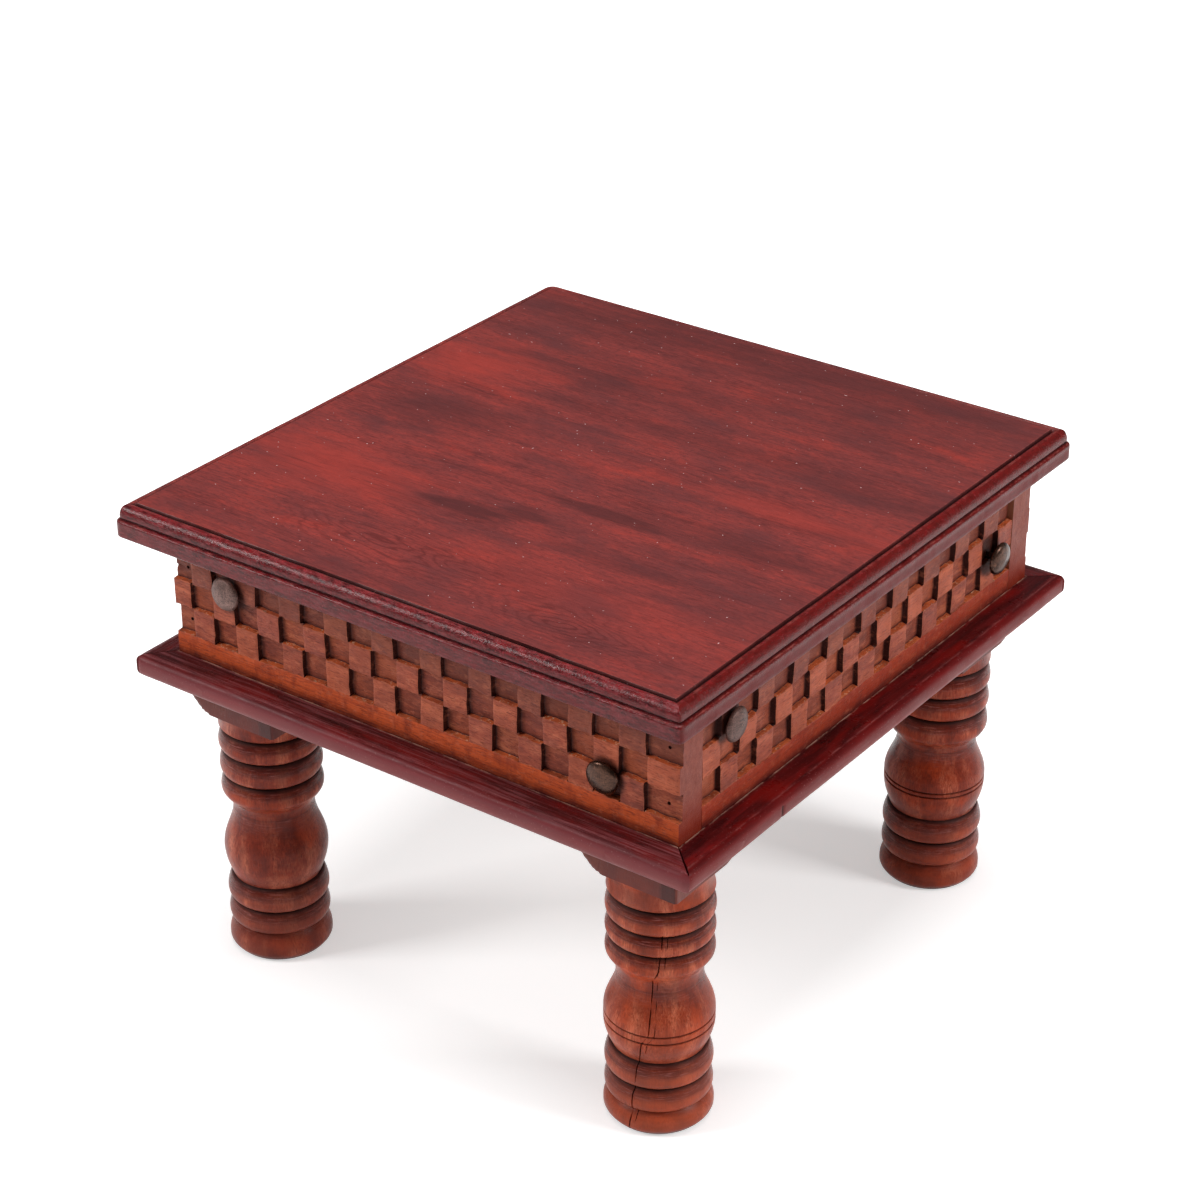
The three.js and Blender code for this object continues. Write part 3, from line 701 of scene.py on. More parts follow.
def leg_material(name, seed, tone, tone_strength):
    shader = wood(name, "leg", "z", seed)
    patch = shader.noise((17, 17, 15), (seed, seed, 2), 3)
    shader.paint((196, 70, 24), shader.range(patch, (0.52, 0.66)), 0.6)
    shader.paint((92, 32, 22), shader.patches((12, 12, 9), (seed, 5, seed), (0.55, 0.7), 4, 0.6), 0.55)
    shader.paint((88, 28, 16), shader.patches((0.8, 0.8, 4), (seed, seed, 0), (0.55, 0.65)), 0.5)
    shader.paint((168, 88, 68), shader.between(shader.coordinate("Z"), (50, 30)), 0.35)
    toned = shader.patches((26, 26, 20), (3, seed, 3), (0.35, 0.6), 3, levels=(0.3, 1))
    shader.paint(tone, toned, tone_strength)
    turned = shader.noise((30, 30, 0.7), (seed, 0, seed))
    # The stain mask also carries the painted shade on the block's face beside its square corner
    shader.paint((68, 16, 13), "stain", shader.range(turned, (0.3, 0.65), (0.6, 1)), 0.85)
    # Painted sheen: pale streaks over the stained upper faces of the beads
    speck = shader.patches((7, 7, 0.45), (seed, 4, 4), (0.54, 0.64), 4, 0.7)
    shader.paint((164, 98, 92), "stain", speck, 0.6)
    # The block painted purple-grey as shade under the moulding and a reflection of the floor
    shader.paint((92, 46, 43), "block_shade", 0.85)
    shader.paint((66, 34, 32), "block_shade", "stain", 0.7)
    # Painted shade in the grooves under each crest
    shader.paint((30, 8, 6), "cavity", 0.95)
    shader.paint((26, 8, 7), "crack", 0.95)
    rough = shader.minus(shader.range(patch, (0.3, 0.7), (0.26, 0.38)), shader.times("stain", 0.08))
    rough = shader.plus(rough, shader.times("cavity", 0.5))
    return wood_finish(shader, "leg", rough, shader.bump(turned, 0.25, 0.2))


def cleat_material():
    shader = wood("cleat_wood", "cleat", "y", 11)
    rough = shader.patches((9, 9, 9), ORIGIN, (0.3, 0.7), 3, levels=(0.74, 0.88))
    saw = shader.noise((0.9, 0.9, 0.9))
    return wood_finish(shader, "cleat", rough, shader.bump(saw, 0.4, 0.2))


def metal_material(name, dark, light, shine, metallic, seed):
    shader = Shader(name)
    shift = (seed, seed * 2.3, seed * 4.1)
    patina = shader.noise((5, 5, 5), shift, 5, 0.7)
    shader.colour = shader.mix(shader.range(patina, (0.3, 0.7)), dark, light)
    for sizes in SCRATCHES:
        shader.paint([c * 0.35 for c in dark], shader.patches(sizes, shift, (0.58, 0.63), bend=1.2), 0.6)
    rubbed_and_reflected = shader.patches((0.5, 3, 3), shift, (0.62, 0.7), 3, bend=0.8)
    shader.paint([min(255, c * 1.45) for c in light], rubbed_and_reflected, 0.35)
    rough = shader.range(patina, (0.3, 0.7), (shine - 0.06, shine + 0.1))
    dents = shader.bump(shader.noise((2.6, 2.6, 2.6), shift, 3), 0.25, 0.25)
    return shader.finish(rough, shader.bump(rubbed_and_reflected, 0.3, 0.06, dents), Metallic=metallic)


# Top board

def edge_profile(thickness):
    """The routed edge from the underside up to the field: [inset, depth, dark, routed, worn, band]; dark is
    painted shade and dirt in the groove and the quirk.
    """
    ovolo_foot = CROWN_FALL + OVOLO_DROP
    quirk_foot = ovolo_foot + QUIRK_HEIGHT
    quirk_inset = CROWN_INSET - OVOLO_REACH + QUIRK_DEPTH
    band_top = quirk_foot + LEDGE_FALL + BAND_TOP_ROUND
    band_foot = thickness - BAND_BOTTOM_ROUND
    band_height = band_foot - band_top
    bottom_round = ((BAND_BOTTOM_ROUND, band_foot), (-BAND_BOTTOM_ROUND, BAND_BOTTOM_ROUND))
    top_round = ((BAND_TOP_ROUND, band_top), (-BAND_TOP_ROUND, -BAND_TOP_ROUND))
    ovolo = ((CROWN_INSET, ovolo_foot), (-OVOLO_REACH, -OVOLO_DROP))
    stretches = [
        (arc(*bottom_round, 1, 0, 5), 0, 0.8, 0, 0.4),
        ([(0, band_foot - band_height * k / 5) for k in (1, 2, 3)], 0, 0.8, 0, 1),
        ([(0, band_foot - band_height * 0.8)], 0, 0.9, 0, 0.5),
        (arc(*top_round, 0, 0.5, 4), 0, 1, 0.05, 0.1),
        (arc(*top_round, 0.6, 0.85, 2), 0, 1, 0.6, 0),
        (arc(*top_round, 0.92, 1, 1), 0.2, 1, 0.1, 0),
        ([(quirk_inset, quirk_foot), (quirk_inset, quirk_foot - QUIRK_HEIGHT * 0.4)], 0.9, 1, 0, 0),
        (arc(*ovolo, 0, 0.2, 2), 0.1, 1, 0.1, 0),
        (arc(*ovolo, 0.28, 0.85, 8), 0, 1, 0, 0),
        (arc(*ovolo, 0.9, 1, 1), 0, 0.9, 0.25, 0),
        ([(CROWN_INSET + 0.5, CROWN_FALL + 0.05)], 0, 0.9, 0.35, 0),
        ([(CROWN_INSET + 0.9, CROWN_FALL + 0.35)], 0.9, 0.7, 0, 0),
        ([(FIELD_INSET - GROOVE_BATTER, GROOVE_DEPTH)], 1, 0, 0, 0),
        ([(FIELD_INSET - 0.05, 0.15)], 0.7, 0, 0.1, 0),
        ([(FIELD_INSET + 0.15, 0)], 0, 0, 0.3, 0),
        ([(FIELD_INSET + 0.8, 0)], 0, 0, 0, 0),
    ]
    return [(*point, *values) for points, *values in stretches for point in points]


def rounded_outline(inset, half_x, half_y):
    """A rectangle with rounded corners, anticlockwise, with the same number of points for any inset."""
    corners = []
    for quarter, (sign_x, sign_y) in enumerate(((1, 1), (-1, 1), (-1, -1), (1, -1))):
        radius = max(TOP_CORNER_RADII[quarter] - inset, LEAST_CORNER_RADIUS)
        middle = (sign_x * (half_x - inset - radius), sign_y * (half_y - inset - radius))
        corners.append(arc(middle, (radius, radius), quarter, quarter + 1, 6))
    points = []
    for corner, following in zip(corners, corners[1:] + corners[:1]):
        points += corner
        start, end = np.array(corner[-1]), np.array(following[0])
        count = int(2 * max(half_x, half_y) / FINE_STEP)
        points += [tuple(start + (end - start) * k / count) for k in range(1, count)]
    return np.array(points)


def make_top():
    low, high = box_of("top_board")
    middle, half = (low + high) / 2, (high - low) / 2
    rings, masks = [], []
    for inset, depth, dark, routed, worn, band in edge_profile(high[2] - low[2]):
        ring = rounded_outline(inset, half[0], half[1])
        outward = ring / half[:2]
        outward = np.sign(outward) * (np.abs(outward) > np.abs(outward[:, ::-1]))
        edge = 0 < depth < TOP_WEAR_DEPTH
        wear = 0.07 * (1 + noise(21, 3.2, *ring.T)) * (0.3 + worn) * edge
        chip = 0.5 * np.clip(noise(22, 4.2, *ring.T) - 0.45, 0, 1) * worn * (depth > CROWN_FALL + OVOLO_DROP)
        wander = 0.2 * np.abs(noise(23, 34, *ring.T)) * edge
        ring = ring - outward * (wear + chip + wander)[:, None]
        z = high[2] - depth - 0.5 * chip * (depth > 0)
        rings.append(np.column_stack([ring + middle[:2], z]))
        ring_masks = np.tile([float(dark), routed, worn, band], (len(ring), 1))
        far = (outward[:, 0] < 0) | (outward[:, 1] > 0)
        ring_masks[far, 0] *= FAR_GROOVE
        if depth <= GROOVE_DEPTH:
            ring_masks[far, 1] *= FAR_GROOVE
        masks.append(ring_masks)
    points = np.array(rings)
    masks = dict(zip(("dark", "routed", "worn", "band"), np.array(masks).reshape(-1, 4).T))
    bare = np.zeros((len(rings) - 1) * points.shape[1] + 2)
    bare[-2] = 1
    add_piece("top_board_wood", points, top_material(), "top_board", 40, masks, {"bare": bare})


# Carved aprons

def grid_lines(edges):
    """Lines across a row of cells: where each is, and its share in each cell. Beside an edge between
    two cells they lie close, so that the wall there is steep and its arris is broken."""
    count = len(edges) - 1
    places, shares = [], []
    for cell, (low, high) in enumerate(zip(edges, edges[1:])):
        start = low + (WALL_FOOT if cell else 0)
        end = high - (WALL_FOOT if cell < count - 1 else 0)
        inner = np.linspace(start, end, max(2, round((end - start) / FINE_STEP) + 1))
        own = np.zeros((len(inner), count))
        own[:, cell] = 1
        places.extend(inner)
        shares.extend(own)
        if cell < count - 1:
            for side, share in ((-1, ARRIS_SHARE), (1, 1 - ARRIS_SHARE)):
                between = np.zeros(count)
                between[cell], between[cell + 1] = 1 - share, share
                places.append(high + side * WALL_HALF)
                shares.append(between)
    return np.array(places), np.array(shares)


def column_edges(side, start, end):
    """Where the columns of a board begin and end. The carver started each long board with a narrow one."""
    if side.name in ("right", "left"):
        return np.linspace(start, end, COLUMNS_BETWEEN + 1)
    pitch = (end - start) / (COLUMNS_THROUGH - 2 + FIRST_COLUMN_SHARE + LAST_COLUMN_SHARE)
    inner = start + pitch * (FIRST_COLUMN_SHARE + np.arange(COLUMNS_THROUGH - 1))
    return np.concatenate([[start], inner, [end]])


def drill(grids, place, middle, radii):
    """A dent over a brad: the grid is drawn in to a ring round one of its points, which is pushed in.
    The grids are u, z, depth, and a mask of the dents."""
    u, z, depth, hole = grids
    for step in itertools.product((-1, 0, 1), repeat=2):
        point = (place[0] + step[0], place[1] + step[1])
        length = math.hypot(*step) or 1
        u[point] = middle[0] + radii[0] * step[0] / length
        z[point] = middle[1] + radii[1] * step[1] / length
    depth[place] += HOLE_DEPTH
    hole[place] = 1


def nearness(lines, edges):
    """How far each line is from the nearest edge."""
    return np.min(np.abs(lines[:, None] - edges[None, :]), 1)


def quarters(grid):
    """The four corners of each face of a grid."""
    return [grid[:-1, :-1], grid[1:, :-1], grid[:-1, 1:], grid[1:, 1:]]


class Carving:
    """The carved face of a board, as a grid of points: their u, their z, and how deep each is."""

    def __init__(self, side, seed):
        node = f"apron_{side.name}"
        (self.start, self.end), (self.face, self.back), (self.bottom, self.top) = side.reach(node)
        self.side = side
        self.seed = seed
        self.foot = box_of(f"base_moulding_{side.name}")[1][2]
        self.band_top = self.foot + LOWER_BAND
        levels = np.linspace(self.band_top, self.top - UPPER_BAND, ROWS + 1)
        self.columns = column_edges(side, self.start, self.end)
        self.rows = np.concatenate([[self.bottom, self.foot], levels, [self.top]])
        self.counts = len(self.columns) - 1, len(self.rows) - 1
        self.u_lines, self.u_share = grid_lines(self.columns)
        self.z_lines, self.z_share = grid_lines(self.rows)
        self.chop_cells(np.random.default_rng(seed))
        self.move_edges(np.random.default_rng(seed + 7))
        self.hole = np.zeros_like(self.depth)
        for column, level in side.brads("apron"):
            place = (int(np.abs(self.u_lines - column).argmin()), int(np.abs(self.z_lines - level).argmin()))
            drill((self.u, self.z, self.depth, self.hole), place, (column, level), (HOLE_RADIUS,) * 2)

    def chop_cells(self, random):
        """Every other cell is sunk. Each has its own depth and leans a little."""
        cell_depth = np.zeros(self.counts)
        self.sign = np.zeros(self.counts)
        for row, column in itertools.product(range(ROWS), range(self.counts[0])):
            sunk = (column + row) % 2 == 0
            spread = random.uniform(*(SUNK_SPREAD if sunk else RAISED_SPREAD))
            cell_depth[column, row + 2] = RELIEF * sunk + spread
            self.sign[column, row + 2] = 1 - 2 * sunk
        if self.side.name == "back":
            cell_depth[0] *= WORN_END_SHARE
        lean_u = random.uniform(-LEAN_U, LEAN_U, self.counts) * (cell_depth > 0)
        lean_z = random.uniform(-LEAN_Z, LEAN_Z, self.counts) * (cell_depth > 0)
        across = np.interp(self.u_lines, self.columns, np.arange(len(self.columns))) % 1 * 2 - 1
        upward = np.interp(self.z_lines, self.rows, np.arange(len(self.rows))) % 1 * 2 - 1
        self.depth = self.u_share @ cell_depth @ self.z_share.T
        self.depth += (self.u_share * across[:, None]) @ lean_u @ self.z_share.T
        self.depth += self.u_share @ lean_z @ (self.z_share * upward[:, None]).T

    def move_edges(self, hand):
        """The raised cells are a little narrow, no edge is cut quite true, and no face is smooth."""
        column_count, row_count = self.counts
        u_shift = np.zeros((row_count, column_count + 1))
        for row in range(2, 2 + ROWS):
            margin = CELL_MARGIN * np.diff(self.sign[:, row]) / 2
            u_shift[row, 1:-1] = margin + hand.uniform(-STRAY_U, STRAY_U, column_count - 1)
        z_shift = hand.uniform(-STRAY_Z, STRAY_Z, (column_count, row_count + 1))
        z_shift[:, [0, 1, -1]] = 0
        along_rows = np.array([np.interp(self.u_lines, self.columns, row) for row in u_shift])
        up_columns = np.array([np.interp(self.z_lines, self.rows, column) for column in z_shift])
        shift_u = (self.z_share @ along_rows).T
        shift_z = self.u_share @ up_columns

        u, z = np.meshgrid(self.u_lines, self.z_lines, indexing="ij")
        seed = self.seed
        inside_u = np.clip(np.minimum(u - self.start, self.end - u) / 3, 0, 1)
        inside_z = np.clip(np.minimum(z - self.foot - 1, self.top - z) / 3, 0, 1)
        near_row = np.exp(-(nearness(self.z_lines, self.rows[2:-1]) / ROW_REACH) ** 2)[None, :]
        self.u = u + inside_u * (shift_u + 0.3 * noise(seed, 4.5, u, z))
        wave, ripple = noise(seed + 1, 70, u, 0), noise(seed + 2, 4, u, z)
        self.z = z + inside_z * (shift_z + 0.55 * wave + 0.16 * ripple)
        self.z += inside_z * near_row * 0.34 * noise(seed + 3, 1.7, u, z)
        rough = 0.1 * noise(seed + 4, 2.6, u, z) + 0.06 * noise(seed + 5, 1.1, u, z)
        chop = 0.4 * near_row * np.clip(noise(seed + 6, 2.2, u, z), 0, 1)
        self.depth = self.depth + (rough + chop) * (z > self.foot)
        if self.side.name == "front":
            from_u = (u - self.start - GOUGE_PLACE[0]) / GOUGE_SIZES[0]
            from_z = (z - GOUGE_PLACE[1]) / GOUGE_SIZES[1]
            self.depth += GOUGE_DEPTH * np.exp(-from_u ** 2 - from_z ** 2)
        self.depth = np.clip(self.depth, 0, None)

    def face_masks(self):
        """Walls, ledges and arrises by how the depth falls between the lines, and the kinds of cells."""
        fall_u = np.abs(np.diff(self.depth, axis=0))
        fall_u = np.maximum(fall_u[:, :-1], fall_u[:, 1:])
        fall_z = np.diff(self.depth, axis=1)
        fall_z = np.where(np.abs(fall_z[:-1]) > np.abs(fall_z[1:]), fall_z[:-1], fall_z[1:])
        mean = sum(quarters(self.depth)) / 4
        close_u = np.diff(self.u_lines)[:, None] < WALL_STEP
        close_z = np.diff(self.z_lines)[None, :] < WALL_STEP
        wall_u, wall_z = close_u & (fall_u > WALL_FALL), close_z & (np.abs(fall_z) > WALL_FALL)
        flank = (close_u & (fall_u > FLANK_FALL)) | (close_z & (np.abs(fall_z) > FLANK_FALL))
        middles = [(lines[:-1] + lines[1:]) / 2 for lines in (self.u_lines, self.z_lines)]
        middle_u, middle_z = np.meshgrid(*middles, indexing="ij")
        cells = [np.searchsorted(self.columns, middle_u), np.searchsorted(self.rows, middle_z)]
        sign = self.sign[tuple(np.clip(cell - 1, 0, count - 1) for cell, count in zip(cells, self.counts))]
        high_row = middle_z > self.rows[-3]
        return {
            "end_wall": np.maximum(wall_u, np.maximum.reduce(quarters(self.hole))),
            # Ledges that face up, below the top row, get painted light from above
            "lit_ledge": wall_z & (fall_z > WALL_FALL) & ~high_row & ~wall_u,
            # Painted shade: deep flanks, walls that face down, and the ledges of the top row
            "corner": (wall_z & ((fall_z < -WALL_FALL) | high_row)) | (flank & (mean > SHADED_FLANK_DEPTH)),
            "arris": flank & (mean < ARRIS_DEPTH) & ~wall_u & ~wall_z,
            "tint": scramble(self.seed, cells),
            "sunk": sign < 0,
            "raised": sign > 0,
            # The top row, which gets painted shade under the top's overhang
            "upper": high_row,
            "band": middle_z < self.band_top,
            "foot": np.clip(1 - (middle_z - self.foot) / FOOT_FADE, 0, 1),
        }

    def point_masks(self):
        """Painted shade along the feet of the walls, partly dirt, and the dirt round the nails with their
        painted shadow.
        """
        near_column = nearness(self.u_lines, self.columns[1:-1]) < RECESS_SHADE_REACH
        near_row = nearness(self.z_lines, self.rows[2:]) < RECESS_SHADE_REACH
        near_edge = near_column[:, None] | near_row[None, :]
        nail_dirt_and_shadow = 0
        for number in (1, 2):
            (u_low, u_high), _, (z_low, z_high) = self.side.reach(f"dome_nail_{self.side.name}_{number}")
            shift_u, shift_z = NAIL_SHADOW_SHIFT[self.side.name]
            from_u = self.u - (u_low + u_high) / 2 - shift_u
            from_z = self.z - (z_low + z_high) / 2 - shift_z
            reach = np.hypot(from_u, from_z) - NAIL_HEAD_RADIUS
            nail_dirt_and_shadow = nail_dirt_and_shadow + np.clip(1 - reach / NAIL_SHADOW_REACH, 0, 1)
        recess_shade_and_dirt = near_edge * np.clip((self.depth - RECESS_SHADE_DEPTH) / RECESS_SHADE_DEPTH, 0, 1)
        return {"recess_shade_and_dirt": recess_shade_and_dirt, "nail_dirt_and_shadow": np.clip(nail_dirt_and_shadow, 0, 1)}


def make_apron(side, seed):
    """Each line of the carved grid becomes a ring: down the face, and up along the back."""
    carving = Carving(side, seed)
    grid = side.place(carving.u, carving.face + carving.depth, carving.z)[:, ::-1]
    back = np.full(len(grid), carving.back)
    behind = [
        side.place(carving.u[:, 0], back, np.full(len(grid), level))
        for level in (carving.bottom, carving.top)
    ]
    points = np.concatenate([grid, np.stack(behind, 1)], 1)

    def over_faces(values, behind=0, caps=0):
        faces = np.full((len(points) - 1, points.shape[1]), float(behind))
        faces[:, :grid.shape[1] - 1] = np.asarray(values, float)[:, ::-1]
        return np.append(faces.ravel(), [caps, caps])

    face_masks = {name: over_faces(values) for name, values in carving.face_masks().items()}
    face_masks["tint"][-2:] = 0.5
    nowhere = np.zeros((len(grid) - 1, grid.shape[1] - 1))
    face_masks["end"] = over_faces(nowhere, 0, 1)
    face_masks["bare"] = over_faces(nowhere, 1, 0)
    point_masks = {
        name: np.pad(values[:, ::-1], ((0, 0), (0, len(behind))))
        for name, values in carving.point_masks().items()
    }
    material = apron_material(f"carved_wood_{side.name}", side.axis, seed, BAND_COLOURS[side.name])
    node = f"apron_{side.name}"
    add_piece(f"{node}_carved", points, material, node, 40, point_masks, face_masks)


# Base moulding

def moulding_section(width, height):
    """[projection, height, wear, nose] from the top of its back, over the nose and underneath."""
    flat = width - NOSE_TOP_ROUND
    crest = height - MOULDING_FALL
    last = TOP_FACE_POINTS
    top_places = [0, SEAM_WIDTH] + [flat * k / last for k in range(1, last)]
    top_face = [(p, height - MOULDING_FALL * p / flat, 0, 0) for p in top_places]
    rim = [
        (flat - 0.25, crest, 0.25, 0),
        (flat, crest - 0.06, 0.8, 0),
        (flat + 0.3, crest - NOSE_STEP, 0.5, 0.2),
    ]
    upper_reach = (NOSE_TOP_ROUND, NOSE_TOP_ROUND - NOSE_STEP)
    upper = arc((flat, crest - NOSE_TOP_ROUND), upper_reach, 0.86, 0, 7)
    lower = arc((width - NOSE_BOTTOM_ROUND, NOSE_BOTTOM_ROUND), (NOSE_BOTTOM_ROUND,) * 2, 0, -1, 9)
    nose = [(*point, 0, min(1, 0.25 + 0.12 * k)) for k, point in enumerate(upper + lower)]
    under = [((width - NOSE_BOTTOM_ROUND) * k / 3, 0, 0, 0.5) for k in (2, 1, 0)]
    return np.array(top_face + rim + nose + under)


def make_moulding(side, seed):
    node = f"base_moulding_{side.name}"
    (u_low, u_high), (front, back), (bottom, top) = side.reach(node)
    width = back - front
    projection, height, wear, nose = moulding_section(width, top - bottom).T
    count = int((u_high - u_low) / FINE_STEP)
    place = np.linspace(0, 1, count + 1)[:, None]
    start = u_low + (width - projection)
    end = u_high - (width - projection)
    outward = np.clip(projection / width, 0, 1)
    if side.name == "right":
        start = start + MITRE_GAP * outward
    u = start + (end - start) * place

    # Wear: the nose dips and its ends are worn, and the rim is chipped
    nosed = outward ** 3
    dip = nosed * (0.22 * (1 + noise(seed, 42, u, 0)) + 0.05 * (1 + noise(seed + 1, 9, u, height)))
    chip = wear * 0.2 * np.clip(noise(seed + 2, 3, u, 0), 0, 1)
    ends = np.minimum(u - u_low, u_high - u)
    worn_end = nosed * 1.3 * np.exp(-(ends / 1.8) ** 2)
    depth = back - projection + dip + chip + worn_end
    z = bottom + height - chip * 0.7
    dark = np.zeros_like(u)
    for middle, level in side.brads("moulding"):
        i = int(np.abs(u[:, TOP_FACE_POINTS] - middle).argmin())
        j = int(np.argmin(np.abs(z[i] - level) + 100 * (projection < width / 2)))
        radii = (MOULDING_HOLE_RADIUS, -MOULDING_HOLE_RADIUS)
        drill((u, z, depth, dark), (i, j), (middle, level), radii)
    if side.name == "right":
        i = int(np.abs(u[:, TOP_FACE_POINTS] - NOSE_CRACK[0]).argmin())
        cracked = (np.abs(z[i] - NOSE_CRACK[1]) < NOSE_CRACK[2]) & (projection > width / 2)
        depth[i, cracked] += NOSE_CRACK_DEPTH
        dark[i, cracked] = 1
    seam = (projection < SEAM_WIDTH / 2) & (height > MOULDING_FALL * 4)
    floor_reflection = np.clip((REFLECTION_HEIGHT - height) / REFLECTION_FADE, 0, 1) * (projection > width / 2)
    masks = {"dark": dark}
    for name, values in (("worn", wear), ("nose", nose), ("seam", seam), ("floor_reflection", floor_reflection)):
        masks[name] = np.tile(values, (count + 1, 1))
    material = moulding_material(f"moulding_wood_{side.name}", side.axis, seed, *MOULDING_LOOKS[side.name])
    add_piece(f"{node}_wood", side.place(u, depth, z), material, node, 40, masks)


# Legs

def bead(low, high, stain=1.0, from_share=0.0, shaded_from=0.76):
    """Points over a bead between two grooves: radius, height, how much painted shade and how stained."""
    shares = np.linspace(from_share, 1, 20)[1:-1]
    bulges = np.sin(np.pi * shares ** BEAD_LEAN) ** BEAD_FULLNESS
    radii = GROOVE_RADIUS + (RING_CUT - BEAD_CUT) * bulges
    heights = low + (high - low) * shares
    shades = np.clip((shares - shaded_from) / BEAD_FADE, 0, 1)
    stains = np.clip((shares - BEAD_STAINED_FROM) / BEAD_FADE, 0, 1) * stain
    return list(zip(radii, heights, shades, stains))


def sweep(start, end, bend, stain=lambda place: 0.0):
    """The points between two points on a curve that a bend from 0 to 1 shapes."""
    return [
        (start[0] + (end[0] - start[0]) * bend(s), start[1] + (end[1] - start[1]) * s, 0.0, stain(s))
        for s in np.linspace(0, 1, 22)[1:-1]
    ]


def swell(share):
    return math.sin(math.pi / 2 * share)


def drop(share):
    return 1 - math.cos(math.pi / 2 * share)


def ease(share):
    return (1 - math.cos(math.pi * share)) / 2


def flare(share):
    return share ** 2.6


def leg_profile(shares):
    """[radius, height, painted shade, stain] of the turned part, from the floor to the block."""
    level = [place * TURNED_HEIGHT for place in shares["grooves"]]
    groove = [(GROOVE_RADIUS, height, 1.0, 1.0) for height in level]
    crest = (TURNED_RADIUS, FOOT_CREST, 0.0, 0.0)
    neck = (TURNED_RADIUS - NECK_CUT, shares["neck"] * TURNED_HEIGHT, 0.3, 0.7)
    collar = (TURNED_RADIUS - COLLAR_EDGE_CUT, shares["collar"] * TURNED_HEIGHT, 0.0, 0.0)
    shoulder = TURNED_RADIUS - SHOULDER_CUT
    bulb = [(TURNED_RADIUS, shares["bulb"] * TURNED_HEIGHT, 0.0, 0.0)]
    if shares["scribes"]:
        scribe = ((-1, 0, 0), (-0.3, SCRIBE_DEPTH, 0.8), (0.3, SCRIBE_DEPTH, 0.8), (1, 0, 0))
        bulb = [
            (TURNED_RADIUS - depth, place * TURNED_HEIGHT + SCRIBE_WIDTH * side / 2, shade, 0.0)
            for place in shares["scribes"]
            for side, depth, shade in scribe
        ]
    return [
        (TURNED_RADIUS - FOOT_BASE_CUT, 0, 0.8, 0.6),
        (TURNED_RADIUS - FOOT_BASE_CUT * 0.6, FOOT_CHAMFER * 0.35, 0.4, 0.5),
        (TURNED_RADIUS - FOOT_BASE_CUT * 0.2, FOOT_CHAMFER * 0.8, 0.0, 0.2),
        (TURNED_RADIUS, FOOT_CHAMFER * 1.2, 0.0, 0.0),
        crest,
        *sweep(crest, groove[0], drop, lambda place: max(0.0, place - 0.55) * 1.8),
        groove[0],
        *bead(level[0], level[1], 0.8, 0, 0.78),
        groove[1],
        *bead(level[1], level[2], 0.9, 0, 0.83),
        groove[2],
        *sweep(groove[2], bulb[0], swell),
        *bulb,
        *sweep(bulb[-1], neck, ease, lambda place: 0.75 * max(0.0, place - 0.45) / 0.55),
        neck,
        *sweep(neck, collar, flare, lambda place: 0.6 * (1 - place)),
        collar,
        *bead(collar[1], level[3], 0.9, 0.1),
        groove[3],
        *bead(level[3], level[4]),
        groove[4],
        *bead(level[4], level[5]),
        groove[5],
        (shoulder - 0.9, level[5] + SHOULDER_RISE * 0.4, 0.5, 0.2),
        (shoulder, level[5] + SHOULDER_RISE, 0.0, 0.1),
    ]


def rectangle_radius(angles, *reaches):
    """How far a rectangle's outline is from the axis in each direction. Its reaches are [low, high]."""
    found = []
    for (low, high), share in zip(reaches, (np.cos(angles), np.sin(angles))):
        with np.errstate(divide="ignore"):
            reach = np.where(share > 0, high / share, low / share)
        found.append(np.where(np.abs(share) < 1e-9, np.inf, reach))
    return np.minimum(*found)


def leg_angles(corner):
    """Directions of the points in a ring: even, with more at the corners of the block and in the crack."""
    angles = list(np.linspace(0, 360, LEG_SIDES, endpoint=False) - 180)
    for middle in (-135, -45, 45, 135):
        angles += [middle + offset for offset in (-2.2, -1.1, 1.1, 2.2)]
    if corner == "front_right":
        twin = CRACK_START + CRACK_TWIN
        angles = [a for a in angles if abs(a - CRACK_START) > 1.6 and abs(a - twin) > 1.2]
        angles += [CRACK_START + offset for offset in (-1.5, -0.8, 0, 0.8, 1.5, 5, 5.5, 6, 6.5, 7)]
    return np.sort(np.array(angles))


